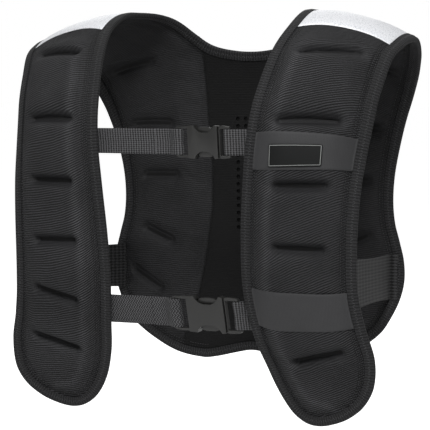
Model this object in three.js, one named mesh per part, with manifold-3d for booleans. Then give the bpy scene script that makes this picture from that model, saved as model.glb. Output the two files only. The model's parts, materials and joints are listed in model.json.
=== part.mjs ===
// Weighted vest: two padded fronts, a padded back with a pierced middle and one tape bound round the edge.
// Two chest straps with side release buckles, two side straps, two elastic bands and a rubber label go on it.
// Lengths are millimetres. +X is the wearer's left, the front faces -Y and +Z is up.
// The origin is over the shoulders, at the height where the vest sits on them.

import * as THREE from 'three';
import { mergeVertices } from 'three/addons/utils/BufferGeometryUtils.js';
import Module from 'manifold-3d';

const wasm = await Module();
wasm.setup();

// Named sizes of the whole vest
const VEST_HEIGHT = 418;
const VEST_DEPTH = 240;
const HALF_WIDTH = 211;
const RAIL_INNER_X = 80;
const RAIL_OUTER_X = 195;

// Named sizes of the cloth pieces
const MARGIN_THICKNESS = 3;
const CLEARANCE = 0.4;
const BINDING_WIDTH = 9.5;
const BINDING_TAPE = 0.9;
const BINDING_SLOT_GAP = 0.6;
const BINDING_FOLD = 1.3;
const PANEL_INSET = 2.3;
const FRONT_PUFF = 9.5;
const BACK_PUFF = 5;
const INNER_PUFF = 4.5;
const FLAT_MARGIN = 9;
const PUFF_RAMP = 30;
const SHOULDER_PUFF_SHARE = 0.22;
const SLIT_DEPTH_SHARE = 0.8;
const SLIT_SPREAD = 6.5;
const SHOULDER_SEAM_ALONG = -14;
const SEAM_GAP = 1.1;

// Named sizes of the strips, bands, straps and label
const STRIP_THICKNESS = 0.8;
const STRIP_FRONT_ALONG = -80;
const STRIP_REAR_ALONG = 16;
const STRIP_FRONT_HOLLOW = 7;
const BAND_THICKNESS = 1.5;
const BAND_LIFT = 0.9;
const LABEL_LENGTH = 46.5;
const LABEL_HEIGHT = 20.5;
const LABEL_THICKNESS = 1.3;
const LABEL_FRAME_WIDTH = 1.2;
const LABEL_FRAME_HEIGHT = 0.6;
const LABEL_CENTRE_X = 128.5;
const LABEL_CENTRE_ALONG = -228.5;
const LABEL_SLOPE = 0.055;
const LABEL_LIFT = 0.7;
const WEBBING_THICKNESS = 1.6;
const SIDE_STRAP_WIDTH = 50;
const SIDE_STRAP_THICKNESS = 2;
const SIDE_STRAP_HOLLOW_SHARE = 0.07;
const SIDE_STRAP_FRONT_Z = -269.5;
const SIDE_STRAP_BACK_Z = -284;
const STRAP_TAB = 8;
const WEBBING_TAIL = 24;

// Named sizes of the buckles
const BUCKLE_WALL = 3.4;
const BUCKLE_FORWARD = 4;
const BUCKLE_SIDE_ROOM = 0.6;
const BUCKLE_FRAME_SHARE = 0.55;
const BUCKLE_CAVITY_SHARE = 0.46;
const PRONG_WIDTH = 5.5;
const PLUG_BASE = 1.5;
const PLUG_BAR = 2.8;
const PLUG_HOOK = 2.2;
const PLUG_GUIDE = 5;
const PLUG_TAIL = 6;

// Perforations of the middle of the back
const HOLE_RADIUS = 2;
const HOLE_SIDES = 6;
const HOLE_COLUMNS = 5;
const HOLE_ROWS = 16;
const HOLE_COLUMN_PITCH = 9.6;
const HOLE_ROW_PITCH = 8.2;
const HOLE_TOP_Z = -113;

// Side profile of the cloth from the front hem over the shoulder to the back hem, a row for each section.
// The inner rail runs at RAIL_INNER_X and the outer at RAIL_OUTER_X.
// Y is a share of VEST_DEPTH and Z of VEST_HEIGHT.
// Columns: innerY, innerZ, outerY, outerZ
const PROFILE = [
  [-0.317, -1.000, -0.379, -1.000],
  [-0.333, -0.928, -0.383, -0.928],
  [-0.379, -0.849, -0.388, -0.849],
  [-0.438, -0.782, -0.408, -0.782],
  [-0.479, -0.718, -0.429, -0.718],
  [-0.504, -0.658, -0.446, -0.658],
  [-0.525, -0.574, -0.450, -0.579],
  [-0.542, -0.490, -0.446, -0.498],
  [-0.554, -0.407, -0.429, -0.421],
  [-0.558, -0.323, -0.396, -0.347],
  [-0.533, -0.246, -0.367, -0.282],
  [-0.479, -0.179, -0.338, -0.218],
  [-0.404, -0.112, -0.287, -0.158],
  [-0.312, -0.062, -0.225, -0.105],
  [-0.196, -0.024, -0.125, -0.072],
  [-0.071, -0.002, -0.025, -0.057],
  [0.058, 0.002, 0.067, -0.057],
  [0.175, 0.000, 0.158, -0.077],
  [0.263, -0.014, 0.233, -0.105],
  [0.333, -0.048, 0.300, -0.148],
  [0.383, -0.096, 0.350, -0.196],
  [0.408, -0.156, 0.383, -0.249],
  [0.421, -0.227, 0.404, -0.306],
  [0.429, -0.311, 0.429, -0.371],
  [0.433, -0.407, 0.446, -0.445],
  [0.438, -0.502, 0.450, -0.522],
  [0.438, -0.598, 0.450, -0.608],
  [0.433, -0.694, 0.442, -0.699],
  [0.429, -0.789, 0.417, -0.789],
  [0.425, -0.885, 0.404, -0.885],
  [0.421, -0.957, 0.396, -0.957],
];
const SHOULDER_ROW = 16;

// Half of the vest's edge on the flat cloth, from the middle of the neckline round to the middle of the hem.
// Along runs over the shoulder, front negative, as a share of VEST_HEIGHT. Across is a share of HALF_WIDTH.
// Columns: along, across
const EDGE = [
  [0.2249, 0.0000],
  [0.2225, 0.0782],
  [0.2136, 0.1706],
  [0.2007, 0.2308],
  [0.1778, 0.2820],
  [0.1457, 0.3318],
  [0.0811, 0.4076],
  [0.0096, 0.4502],
  [-0.0742, 0.4668],
  [-0.1818, 0.4668],
  [-0.2799, 0.4384],
  [-0.4187, 0.4005],
  [-0.5335, 0.3791],
  [-0.6459, 0.3602],
  [-0.7584, 0.3460],
  [-0.8744, 0.3460],
  [-1.0000, 0.3791],
  [-1.0718, 0.4123],
  [-1.1388, 0.4573],
  [-1.1890, 0.5166],
  [-1.2153, 0.5829],
  [-1.2225, 0.6493],
  [-1.2153, 0.7251],
  [-1.1962, 0.8104],
  [-1.1627, 0.8886],
  [-1.1136, 0.9384],
  [-1.0407, 0.9455],
  [-0.9641, 0.9123],
  [-0.8900, 0.8863],
  [-0.8218, 0.8791],
  [-0.6818, 0.8839],
  [-0.5359, 0.9028],
  [-0.3804, 0.9313],
  [-0.2632, 0.9573],
  [-0.1651, 0.9882],
  [-0.0670, 1.0000],
  [0.0239, 0.9953],
  [0.0957, 0.9739],
  [0.1675, 0.9360],
  [0.2416, 0.8934],
  [0.3349, 0.8436],
  [0.4330, 0.8009],
  [0.5263, 0.7701],
  [0.6029, 0.7607],
  [0.6651, 0.7701],
  [0.7177, 0.7962],
  [0.7691, 0.8199],
  [0.8230, 0.8246],
  [0.8756, 0.8033],
  [0.9258, 0.7583],
  [0.9665, 0.7038],
  [1.0096, 0.5924],
  [1.0467, 0.4455],
  [1.0598, 0.2891],
  [1.0550, 0.2133],
  [1.0431, 0.1185],
  [1.0335, 0.0379],
  [1.0318, 0.0000],
];

// Seam between the middle and the side section of the back. Shares of VEST_HEIGHT and of HALF_WIDTH.
// Columns: along, across
const BACK_SEAM = [
  [0.1435, 0.2844],
  [0.2368, 0.2749],
  [0.3995, 0.2607],
  [0.5239, 0.2393],
  [0.6435, 0.2417],
  [0.8014, 0.2844],
  [0.8780, 0.3152],
  [1.0167, 0.4076],
  [1.0766, 0.4502],
];

// Slit dents, a row for each slit: its middle, its length and how far along it goes for each unit across.
// Along is a share of VEST_HEIGHT, across and length are shares of HALF_WIDTH.
// Columns: along, across, length, slope
const FRONT_SLITS = [
  [-1.0359, 0.6848, 0.2038, 0.2791],
  [-0.9043, 0.6422, 0.1943, 0.2439],
  [-0.7661, 0.6232, 0.1943, -0.0122],
  [-0.6172, 0.6327, 0.2038, 0.0465],
  [-0.4617, 0.6540, 0.2370, 0.1200],
  [-0.2703, 0.7014, 0.2370, 0.2400],
];
const BACK_SLITS = [
  [0.2249, 0.6848, 0.1943, -0.1463],
  [0.4074, 0.5853, 0.1943, -0.1805],
  [0.5559, 0.5427, 0.1659, -0.0600],
  [0.7233, 0.5592, 0.1327, -0.4536],
  [0.8475, 0.6209, 0.1422, -0.6167],
];

// Elastic bands over the left front, each between two edges on the flat cloth as shares of VEST_HEIGHT.
// Columns: name, lower edge inside, upper edge inside, lower edge outside, upper edge outside
const BANDS = [
  ['upper', -0.5837, -0.4976, -0.5740, -0.4900],
  ['lower', -0.9593, -0.8640, -0.9569, -0.8690],
];

// Chest straps, a row for each: its height, where its buckle starts and how far each unit down lies back.
// Columns: name, centre z, webbing width, buckle start x, buckle length, height and thickness, lean
const CHEST_STRAPS = [
  ['upper', -131.5, 25.5, 5.4, 57.2, 33, 10, 0.13],
  ['lower', -304.5, 30, -5.4, 71.8, 38.5, 11.5, 0.33],
];

// Upper outlines of the buckles' pieces. Columns: share of the buckle's length, share of its half height
const SOCKET_LOOP = [
  [0, 0.84],
  [0.03, 0.91],
  [0.26, 0.96],
];
const SOCKET_BODY = [
  [0.235, 0.96],
  [0.36, 1],
  [0.74, 1],
  [0.785, 0.96],
];
const NOTCH = [
  [0.345, 1.1],
  [0.37, 0.84],
  [0.42, 0.66],
  [0.48, 0.57],
  [0.6, 0.57],
  [0.66, 0.67],
  [0.7, 0.82],
  [0.745, 1.1],
];
const PRONG_TIP = [
  [0.665, 0.84],
  [0.61, 0.9],
  [0.5, 0.91],
  [0.43, 0.87],
  [0.4, 0.76],
];
const SOCKET_BAR_SHARE = 0.075;

// The plug's open frame. Columns: share of the frame's length, share of the buckle's half height
const PLUG_FRAME = [
  [0, 0.96],
  [0.3, 0.99],
  [0.94, 0.94],
  [1, 0.88],
];

// Smooth curve through the rows of a table, spaced by the straight distance over its first spacing columns
function smoothTable(rows, spacingColumns) {
  const knots = [0];
  for (let i = 1; i < rows.length; i += 1) {
    let square = 0;
    for (let c = 0; c < spacingColumns; c += 1) {
      square += (rows[i][c] - rows[i - 1][c]) ** 2;
    }
    knots.push(knots[i - 1] + Math.sqrt(square));
  }
  const last = rows.length - 1;
  const slopes = rows.map((row, i) => {
    const before = Math.max(i - 1, 0);
    const after = Math.min(i + 1, last);
    const span = knots[after] - knots[before];
    return row.map((value, c) => (rows[after][c] - rows[before][c]) / span);
  });
  const at = (position) => {
    let i = 0;
    while (i < last - 1 && knots[i + 1] < position) {
      i += 1;
    }
    const span = knots[i + 1] - knots[i];
    const t = (position - knots[i]) / span;
    const t2 = t * t;
    const t3 = t2 * t;
    return rows[i].map((value, c) => (
      (2 * t3 - 3 * t2 + 1) * value
      + (t3 - 2 * t2 + t) * span * slopes[i][c]
      + (3 * t2 - 2 * t3) * rows[i + 1][c]
      + (t3 - t2) * span * slopes[i + 1][c]
    ));
  };
  return { at, knots };
}

// Even steps from 0 to 1
function shares(count) {
  return Array.from({ length: count + 1 }, (unused, i) => i / count);
}

function smoothStep(low, high, value) {
  const t = Math.min(Math.max((value - low) / (high - low), 0), 1);
  return t * t * (3 - 2 * t);
}

// The cloth's middle surface: along and across on the flat cloth, height out from the wearer
const profile = smoothTable(
  PROFILE.map((row) => [
    row[0] * VEST_DEPTH,
    row[1] * VEST_HEIGHT,
    row[2] * VEST_DEPTH,
    row[3] * VEST_HEIGHT,
  ]),
  2,
);
const shoulderKnot = profile.knots[SHOULDER_ROW];

function surfacePoint(along, across) {
  const [innerY, innerZ, outerY, outerZ] = profile.at(along + shoulderKnot);
  const reach = Math.max(0, (Math.abs(across) - RAIL_INNER_X) / (RAIL_OUTER_X - RAIL_INNER_X));
  const share = reach * reach;
  return new THREE.Vector3(
    across,
    innerY + (outerY - innerY) * share,
    innerZ + (outerZ - innerZ) * share,
  );
}

function surfaceNormal(along, across) {
  const step = 0.5;
  const alongStep = surfacePoint(along + step, across).sub(surfacePoint(along - step, across));
  const acrossStep = surfacePoint(along, across + step).sub(surfacePoint(along, across - step));
  return acrossStep.cross(alongStep).normalize();
}

function clothPoint(along, across, height) {
  return surfacePoint(along, across).addScaledVector(surfaceNormal(along, across), height);
}

// The vest's half edge as closely spaced points, with the direction that points into the cloth
const EDGE_STEP = 3;
const edgeRows = EDGE.map((row) => [row[0] * VEST_HEIGHT, row[1] * HALF_WIDTH]);
const mirrored = (row) => [row[0], -row[1]];
const edgeCurve = smoothTable(
  [mirrored(edgeRows[1]), ...edgeRows, mirrored(edgeRows[edgeRows.length - 2])],
  2,
);
const edgeStart = edgeCurve.knots[1];
const edgeEnd = edgeCurve.knots[edgeCurve.knots.length - 2];
const edgeCount = Math.round((edgeEnd - edgeStart) / EDGE_STEP);
const halfEdge = [];
for (let i = 0; i <= edgeCount; i += 1) {
  const position = edgeStart + ((edgeEnd - edgeStart) * i) / edgeCount;
  const [along, across] = edgeCurve.at(position);
  const before = edgeCurve.at(position - 0.5);
  const after = edgeCurve.at(position + 0.5);
  const direction = new THREE.Vector2(after[0] - before[0], after[1] - before[1]).normalize();
  halfEdge.push({ along, across, inAlong: direction.y, inAcross: -direction.x });
}

// The half edge moved into the cloth by an inset
function insetEdge(inset) {
  return halfEdge.map((point) => [
    point.along + point.inAlong * inset,
    point.across + point.inAcross * inset,
  ]);
}

// First place where a line of points passes a value in one column, giving the other column there
function crossing(points, column, value) {
  for (let i = 1; i < points.length; i += 1) {
    const low = points[i - 1][column] - value;
    const high = points[i][column] - value;
    if (low * high <= 0 && low !== high) {
      const share = low / (low - high);
      const other = 1 - column;
      return points[i - 1][other] + (points[i][other] - points[i - 1][other]) * share;
    }
  }
  throw new Error(`the edge does not reach ${value}`);
}

const ALONG = 0;
const ACROSS = 1;

// Number of the point that lies lowest on the front
function lowestOf(points) {
  return points.reduce((best, point, i) => (point[ALONG] < points[best][ALONG] ? i : best), 0);
}

const panelEdge = insetEdge(PANEL_INSET);
const lowestFront = lowestOf(panelEdge);
const innerEdge = panelEdge.slice(0, lowestFront + 1);
const outerEdge = panelEdge.slice(lowestFront);
const hemEdge = [...panelEdge].reverse();
const frontLimit = panelEdge[lowestFront][ALONG];
const backSeam = BACK_SEAM.map((row) => [row[0] * VEST_HEIGHT, row[1] * HALF_WIDTH]);

function seamAcross(along) {
  return crossing(backSeam, ALONG, along);
}

// Distance from a place on the flat cloth to a line of points
function distanceTo(points, along, across) {
  let best = Infinity;
  for (let i = 1; i < points.length; i += 1) {
    const [startAlong, startAcross] = points[i - 1];
    const runAlong = points[i][ALONG] - startAlong;
    const runAcross = points[i][ACROSS] - startAcross;
    const square = runAlong ** 2 + runAcross ** 2;
    const raw = ((along - startAlong) * runAlong + (across - startAcross) * runAcross) / square;
    const share = Math.min(Math.max(raw, 0), 1);
    const missAlong = along - startAlong - runAlong * share;
    const missAcross = across - startAcross - runAcross * share;
    best = Math.min(best, Math.hypot(missAlong, missAcross));
  }
  return best;
}

function slitEnds([along, across, length, slope]) {
  const half = (length * HALF_WIDTH) / 2;
  const middleAlong = along * VEST_HEIGHT;
  const middleAcross = across * HALF_WIDTH;
  return [
    [middleAlong - slope * half, middleAcross - half],
    [middleAlong + slope * half, middleAcross + half],
  ];
}

const frontSlits = FRONT_SLITS.map(slitEnds);
const backSlits = BACK_SLITS.map(slitEnds);

// How full the padding is: nothing in the flat margin, full in the middle, drawn in at each slit
function fullness(edgeDistance, slits, along, across) {
  const share = Math.min(Math.max((edgeDistance - FLAT_MARGIN) / PUFF_RAMP, 0), 1);
  let full = 1 - (1 - share) ** 2.2;
  slits.forEach((ends) => {
    const gap = distanceTo(ends, along, across) / SLIT_SPREAD;
    full *= 1 - SLIT_DEPTH_SHARE * Math.exp(-gap * gap);
  });
  return full;
}

function frontFullness(along, across, slits) {
  const toStrip = smoothStep(STRIP_FRONT_ALONG - 6, STRIP_FRONT_ALONG - 44, along);
  const shoulder = SHOULDER_PUFF_SHARE + (1 - SHOULDER_PUFF_SHARE) * toStrip;
  return shoulder * fullness(distanceTo(panelEdge, along, across), slits, along, across);
}

function backFullness(along, across, slits) {
  const toStrip = smoothStep(STRIP_REAR_ALONG + 4, STRIP_REAR_ALONG + 40, along);
  const shoulder = SHOULDER_PUFF_SHARE + (1 - SHOULDER_PUFF_SHARE) * toStrip;
  const toSeam = Math.abs(across - seamAcross(Math.max(along, backSeam[0][ALONG])));
  const toEdge = distanceTo(panelEdge, along, across);
  const nearest = along < backSeam[0][ALONG] ? toEdge : Math.min(toEdge, toSeam);
  return shoulder * fullness(nearest, slits, along, across);
}

// Outer and inner heights of the padded pieces over the middle surface
const edgeHalf = MARGIN_THICKNESS / 2;
const slotHalf = edgeHalf + BINDING_SLOT_GAP;
const bindingHalf = slotHalf + BINDING_TAPE;
const frontTop = (along, across, slits) => edgeHalf + FRONT_PUFF * frontFullness(along, across, slits);
const frontUnder = (along, across) => -edgeHalf - INNER_PUFF * frontFullness(along, across, frontSlits);
const backTop = (along, across) => edgeHalf + BACK_PUFF * backFullness(along, across, []);
const backUnder = (along, across) => -edgeHalf - INNER_PUFF * backFullness(along, across, backSlits);

// Closed solid between two height rules over a grid of places, rows running across from inside to outside
function gridSolid(grid, top, bottom) {
  const rowCount = grid.length;
  const columnCount = grid[0].length;
  const layer = rowCount * columnCount;
  const positions = [];
  [top, bottom].forEach((heightAt) => {
    grid.forEach((row) => row.forEach(([along, across]) => {
      positions.push(...clothPoint(along, across, heightAt(along, across)).toArray());
    }));
  });
  const indices = [];
  const quad = (a, b, c, d) => indices.push(a, b, c, a, c, d);
  for (let r = 0; r < rowCount - 1; r += 1) {
    for (let c = 0; c < columnCount - 1; c += 1) {
      const a = r * columnCount + c;
      const b = a + columnCount;
      quad(a, a + 1, b + 1, b);
      quad(layer + a, layer + b, layer + b + 1, layer + a + 1);
    }
  }
  const border = [];
  for (let c = 0; c < columnCount - 1; c += 1) {
    border.push(c);
  }
  for (let r = 0; r < rowCount - 1; r += 1) {
    border.push(r * columnCount + columnCount - 1);
  }
  for (let c = columnCount - 1; c > 0; c -= 1) {
    border.push((rowCount - 1) * columnCount + c);
  }
  for (let r = rowCount - 1; r > 0; r -= 1) {
    border.push(r * columnCount);
  }
  border.forEach((from, i) => {
    const to = border[(i + 1) % border.length];
    quad(from, layer + from, layer + to, to);
  });
  const geometry = new THREE.BufferGeometry();
  geometry.setAttribute('position', new THREE.Float32BufferAttribute(positions, 3));
  geometry.setIndex(indices);
  return geometry;
}

// The same solid on the wearer's other side
function mirrorSolid(geometry) {
  const copy = geometry.clone();
  copy.scale(-1, 1, 1);
  const flipped = [];
  const index = copy.getIndex().array;
  for (let i = 0; i < index.length; i += 3) {
    flipped.push(index[i], index[i + 2], index[i + 1]);
  }
  copy.setIndex(flipped);
  return copy;
}

// Places along a line that keep to given shares
function spread(start, end, shares) {
  return shares.map((share) => [
    start[ALONG] + (end[ALONG] - start[ALONG]) * share,
    start[ACROSS] + (end[ACROSS] - start[ACROSS]) * share,
  ]);
}

// Columns of a padded panel: the flat margin, the start of the puff, then shares of the room between
const MARGIN_COLUMNS = [0, FLAT_MARGIN, 18];
const FRONT_SHARES = [0.25, 0.5, 0.75];
const BACK_SHARES = [0.33, 0.67];
const SLIT_ROWS = [-9, -3, 3, 9];
const HEM_ROWS = [0.6, 3.5, FLAT_MARGIN, 18, 30];

function panelRow(start, end, middleShares) {
  const width = Math.hypot(end[ALONG] - start[ALONG], end[ACROSS] - start[ACROSS]);
  const squeeze = Math.min(1, (width * 0.42) / MARGIN_COLUMNS[2]);
  const low = MARGIN_COLUMNS.map((place) => (place * squeeze) / width);
  const room = 1 - 2 * low[2];
  const middle = middleShares.map((share) => low[2] + room * share);
  const high = low.map((share) => 1 - share).reverse();
  return spread(start, end, [...low, ...middle, ...high]);
}

// Row lines of a panel: each follows the nearest slits' slope and gives its place along at the slits
const FLAT_STEP = 20;
const CURVED_STEP = 10;
const CURVED_FROM = -120;
const CURVED_TO = 130;

function rowLines(slits, low, high, hemRows) {
  const lines = hemRows.map((offset) => ({ along: low + offset, slope: 0 }));
  const steps = (from, to) => {
    const middle = (from + to) / 2;
    const curved = middle > CURVED_FROM && middle < CURVED_TO;
    return Math.max(Math.round((to - from) / (curved ? CURVED_STEP : FLAT_STEP)), 1);
  };
  const stops = slits.map(([start, end]) => ({
    along: (start[ALONG] + end[ALONG]) / 2,
    slope: (end[ALONG] - start[ALONG]) / (end[ACROSS] - start[ACROSS]),
  })).sort((a, b) => a.along - b.along);
  stops.forEach((stop) => {
    const previous = lines[lines.length - 1];
    const first = stop.along + SLIT_ROWS[0];
    const gap = first - previous.along;
    const between = steps(previous.along, first);
    for (let i = 1; i < between; i += 1) {
      const share = i / between;
      lines.push({
        along: previous.along + gap * share,
        slope: previous.slope + (stop.slope - previous.slope) * share,
      });
    }
    SLIT_ROWS.forEach((offset) => lines.push({ along: stop.along + offset, slope: stop.slope }));
  });
  const previous = lines[lines.length - 1];
  const count = steps(previous.along, high);
  for (let i = 1; i <= count; i += 1) {
    const share = i / count;
    lines.push({
      along: previous.along + (high - previous.along) * share,
      slope: previous.slope * (1 - share),
    });
  }
  return lines;
}

function frontGrid() {
  const lines = rowLines(frontSlits, frontLimit, SHOULDER_SEAM_ALONG - SEAM_GAP / 2, HEM_ROWS);
  return lines.map(({ along, slope }) => {
    const reach = slope * 50;
    const startAlong = Math.max(along - reach, frontLimit + HEM_ROWS[0]);
    const endAlong = Math.max(along + reach, frontLimit + HEM_ROWS[0]);
    const start = [startAlong, crossing([...innerEdge].reverse(), ALONG, startAlong)];
    const end = [endAlong, crossing(outerEdge, ALONG, endAlong)];
    return panelRow(start, end, FRONT_SHARES);
  });
}

// The back's side section: its inner side follows the neckline, then the seam
function backGrid() {
  const top = SHOULDER_SEAM_ALONG + SEAM_GAP / 2;
  const hemCorner = hemAlong((along) => seamAcross(along) + SEAM_GAP / 2);
  const lines = rowLines(backSlits, top, hemCorner - 30, [0]);
  [20, 11, 5, 1.5].forEach((offset) => lines.push({ along: hemCorner - offset, slope: 0 }));
  return lines.map(({ along, slope }) => {
    const reach = slope * 22;
    const startAlong = Math.max(along - reach, top);
    const endAlong = along + reach;
    const seamSide = startAlong > backSeam[0][ALONG] ? seamAcross(startAlong) + SEAM_GAP / 2 : 0;
    const neckSide = startAlong < innerEdge[0][ALONG] ? crossing(innerEdge, ALONG, startAlong) : 0;
    const start = [startAlong, Math.max(seamSide, neckSide)];
    const end = [endAlong, crossing(outerEdge, ALONG, endAlong)];
    return panelRow(start, end, BACK_SHARES);
  });
}

// Where a line that gives across for each along meets the hem
function hemAlong(acrossAt) {
  let along = VEST_HEIGHT;
  for (let i = 0; i < 12; i += 1) {
    along = crossing(hemEdge, ACROSS, acrossAt(along));
  }
  return along;
}

// Where it meets the neckline
function neckAlong(acrossAt) {
  let along = backSeam[0][ALONG] + 20;
  for (let i = 0; i < 12; i += 1) {
    along = crossing(innerEdge, ACROSS, acrossAt(Math.max(along, backSeam[0][ALONG])));
  }
  return along;
}

// Middle of the back before it is pierced, its columns as shares of the way to the seams
const CENTRE_COLUMNS = [-1, -0.88, -0.6, -0.3, 0, 0.3, 0.6, 0.88, 1];
const CENTRE_ROW_SHARES = [
  0, 0.02, 0.04, 0.065, 0.095, 0.14, 0.2, 0.29, 0.38, 0.47, 0.55, 0.62, 0.69, 0.76, 0.83, 0.9, 0.96, 1,
];

function pierceable() {
  const columns = CENTRE_COLUMNS.map((share) => {
    const acrossAt = (along) => Math.abs(share) * (seamAcross(along) - SEAM_GAP / 2);
    return { share, neck: neckAlong(acrossAt), hem: hemAlong(acrossAt), acrossAt };
  });
  const grid = CENTRE_ROW_SHARES.map((rowShare) => columns.map((column) => {
    const along = column.neck + (column.hem - column.neck) * rowShare;
    return [along, Math.sign(column.share) * column.acrossAt(along)];
  }));
  return gridSolid(grid, () => edgeHalf, () => -edgeHalf);
}

// Solids for cutting and joining
function toManifold(geometry) {
  const bare = new THREE.BufferGeometry();
  bare.setAttribute('position', geometry.getAttribute('position').clone());
  if (geometry.getIndex()) {
    bare.setIndex(geometry.getIndex().clone());
  }
  const merged = mergeVertices(bare, 1e-3);
  return new wasm.Manifold(new wasm.Mesh({
    numProp: 3,
    vertProperties: new Float32Array(merged.getAttribute('position').array),
    triVerts: new Uint32Array(merged.getIndex().array),
  }));
}

function fromManifold(solid) {
  const mesh = solid.getMesh();
  const geometry = new THREE.BufferGeometry();
  geometry.setAttribute('position', new THREE.Float32BufferAttribute(Array.from(mesh.vertProperties), 3));
  geometry.setIndex(Array.from(mesh.triVerts));
  return geometry;
}

// Prism with an outline in X and Z between two places in Y
function prism(outline, yFront, yBack) {
  const shape = new THREE.Shape(outline.map(([x, z]) => new THREE.Vector2(x, z)));
  const geometry = new THREE.ExtrudeGeometry(shape, { depth: yBack - yFront, bevelEnabled: false });
  geometry.rotateX(Math.PI / 2);
  geometry.translate(0, yBack, 0);
  return geometry;
}

function rectangle(xLow, xHigh, zLow, zHigh) {
  return [[xLow, zLow], [xHigh, zLow], [xHigh, zHigh], [xLow, zHigh]];
}

function backCentre() {
  const middleColumn = (HOLE_COLUMNS - 1) / 2;
  const columns = Array.from({ length: HOLE_COLUMNS }, (unused, i) => (i - middleColumn) * HOLE_COLUMN_PITCH);
  const rows = Array.from({ length: HOLE_ROWS }, (unused, i) => HOLE_TOP_Z - i * HOLE_ROW_PITCH);
  const pins = columns.flatMap((x) => rows.map((z) => {
    const outline = Array.from({ length: HOLE_SIDES }, (unused, i) => {
      const angle = (2 * Math.PI * i) / HOLE_SIDES;
      return [x + HOLE_RADIUS * Math.cos(angle), z + HOLE_RADIUS * Math.sin(angle)];
    });
    return toManifold(prism(outline, VEST_DEPTH * 0.35, VEST_DEPTH * 0.5));
  }));
  return fromManifold(toManifold(pierceable()).subtract(wasm.Manifold.union(pins)));
}

// Tape folded over the whole edge: a U section carried round the closed loop
const BINDING_TOLERANCE = 0.3;
const BINDING_LONGEST = 30;

function bindingStations() {
  const places = halfEdge.map((point) => surfacePoint(point.along, point.across));
  const last = halfEdge.length - 1;
  const kept = [0];
  while (kept[kept.length - 1] < last) {
    const from = kept[kept.length - 1];
    let to = from + 1;
    while (to < last && chordError(places, from, to + 1) < BINDING_TOLERANCE) {
      to += 1;
    }
    kept.push(to);
  }
  const half = kept.map((i) => halfEdge[i]);
  const other = half.slice(1, -1).reverse().map((point) => ({
    along: point.along,
    across: -point.across,
    inAlong: point.inAlong,
    inAcross: -point.inAcross,
  }));
  return [...half, ...other];
}

// How far the straight line between two of the places strays from those between them
function chordError(places, from, to) {
  const chord = new THREE.Line3(places[from], places[to]);
  if (chord.distance() > BINDING_LONGEST) {
    return Infinity;
  }
  const closest = new THREE.Vector3();
  const gaps = places.slice(from, to + 1).map((place) => {
    chord.closestPointToPoint(place, true, closest);
    return closest.distanceTo(place);
  });
  return Math.max(...gaps);
}

function edgeBinding() {
  const section = [
    [0, -bindingHalf],
    [BINDING_WIDTH, -bindingHalf],
    [BINDING_WIDTH, -slotHalf],
    [BINDING_FOLD, -slotHalf],
    [BINDING_FOLD, slotHalf],
    [BINDING_WIDTH, slotHalf],
    [BINDING_WIDTH, bindingHalf],
    [0, bindingHalf],
  ];
  const stations = bindingStations();
  const positions = [];
  stations.forEach((station) => {
    section.forEach(([inward, height]) => {
      const along = station.along + station.inAlong * inward;
      const across = station.across + station.inAcross * inward;
      positions.push(...clothPoint(along, across, height).toArray());
    });
  });
  const indices = [];
  stations.forEach((unused, i) => {
    const here = i * section.length;
    const next = ((i + 1) % stations.length) * section.length;
    section.forEach((unusedPoint, k) => {
      const k2 = (k + 1) % section.length;
      indices.push(here + k, here + k2, next + k2, here + k, next + k2, next + k);
    });
  });
  const geometry = new THREE.BufferGeometry();
  geometry.setAttribute('position', new THREE.Float32BufferAttribute(positions, 3));
  geometry.setIndex(indices);
  return geometry;
}

// Room between the two bindings of a piece that lies on the padded cloth
const besideBinding = insetEdge(BINDING_WIDTH + CLEARANCE);
const lowestBeside = lowestOf(besideBinding);
const besideInner = besideBinding.slice(0, lowestBeside + 1);
const besideOuter = besideBinding.slice(lowestBeside);

// Reflective strip over the shoulder, its front edge hollowed
function reflectiveStrip() {
  const alongShares = shares(7);
  const grid = alongShares.map((share) => {
    const level = STRIP_FRONT_ALONG + (STRIP_REAR_ALONG - STRIP_FRONT_ALONG) * share;
    const inner = crossing(besideInner, ALONG, level);
    const outer = crossing(besideOuter, ALONG, level);
    return shares(8).map((across) => {
      const hollow = STRIP_FRONT_HOLLOW * (1 - share) * 4 * across * (1 - across);
      return [level + hollow, inner + (outer - inner) * across];
    });
  });
  const under = (along, across) => (
    CLEARANCE + Math.max(frontTop(along, across, []), backStripTop(along, across))
  );
  return gridSolid(grid, (along, across) => under(along, across) + STRIP_THICKNESS, under);
}

function backStripTop(along, across) {
  return along > SHOULDER_SEAM_ALONG ? backTop(along, across) : edgeHalf;
}

function bandGrid([, lowInside, highInside, lowOutside, highOutside], rows, columns) {
  return shares(rows).map((rowShare) => {
    const inside = (lowInside + (highInside - lowInside) * rowShare) * VEST_HEIGHT;
    const outside = (lowOutside + (highOutside - lowOutside) * rowShare) * VEST_HEIGHT;
    const start = [inside, crossing([...besideInner].reverse(), ALONG, inside)];
    const end = [outside, crossing(besideOuter, ALONG, outside)];
    return spread(start, end, shares(columns));
  });
}

// Height of a band's underside: clear of the puffed cloth, with the slits below it bridged
const bandUnder = (along, across) => BAND_LIFT + frontTop(along, across, []);

function elasticBand(row) {
  const grid = bandGrid(row, 3, 12);
  return gridSolid(grid, (along, across) => bandUnder(along, across) + BAND_THICKNESS, bandUnder);
}

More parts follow.
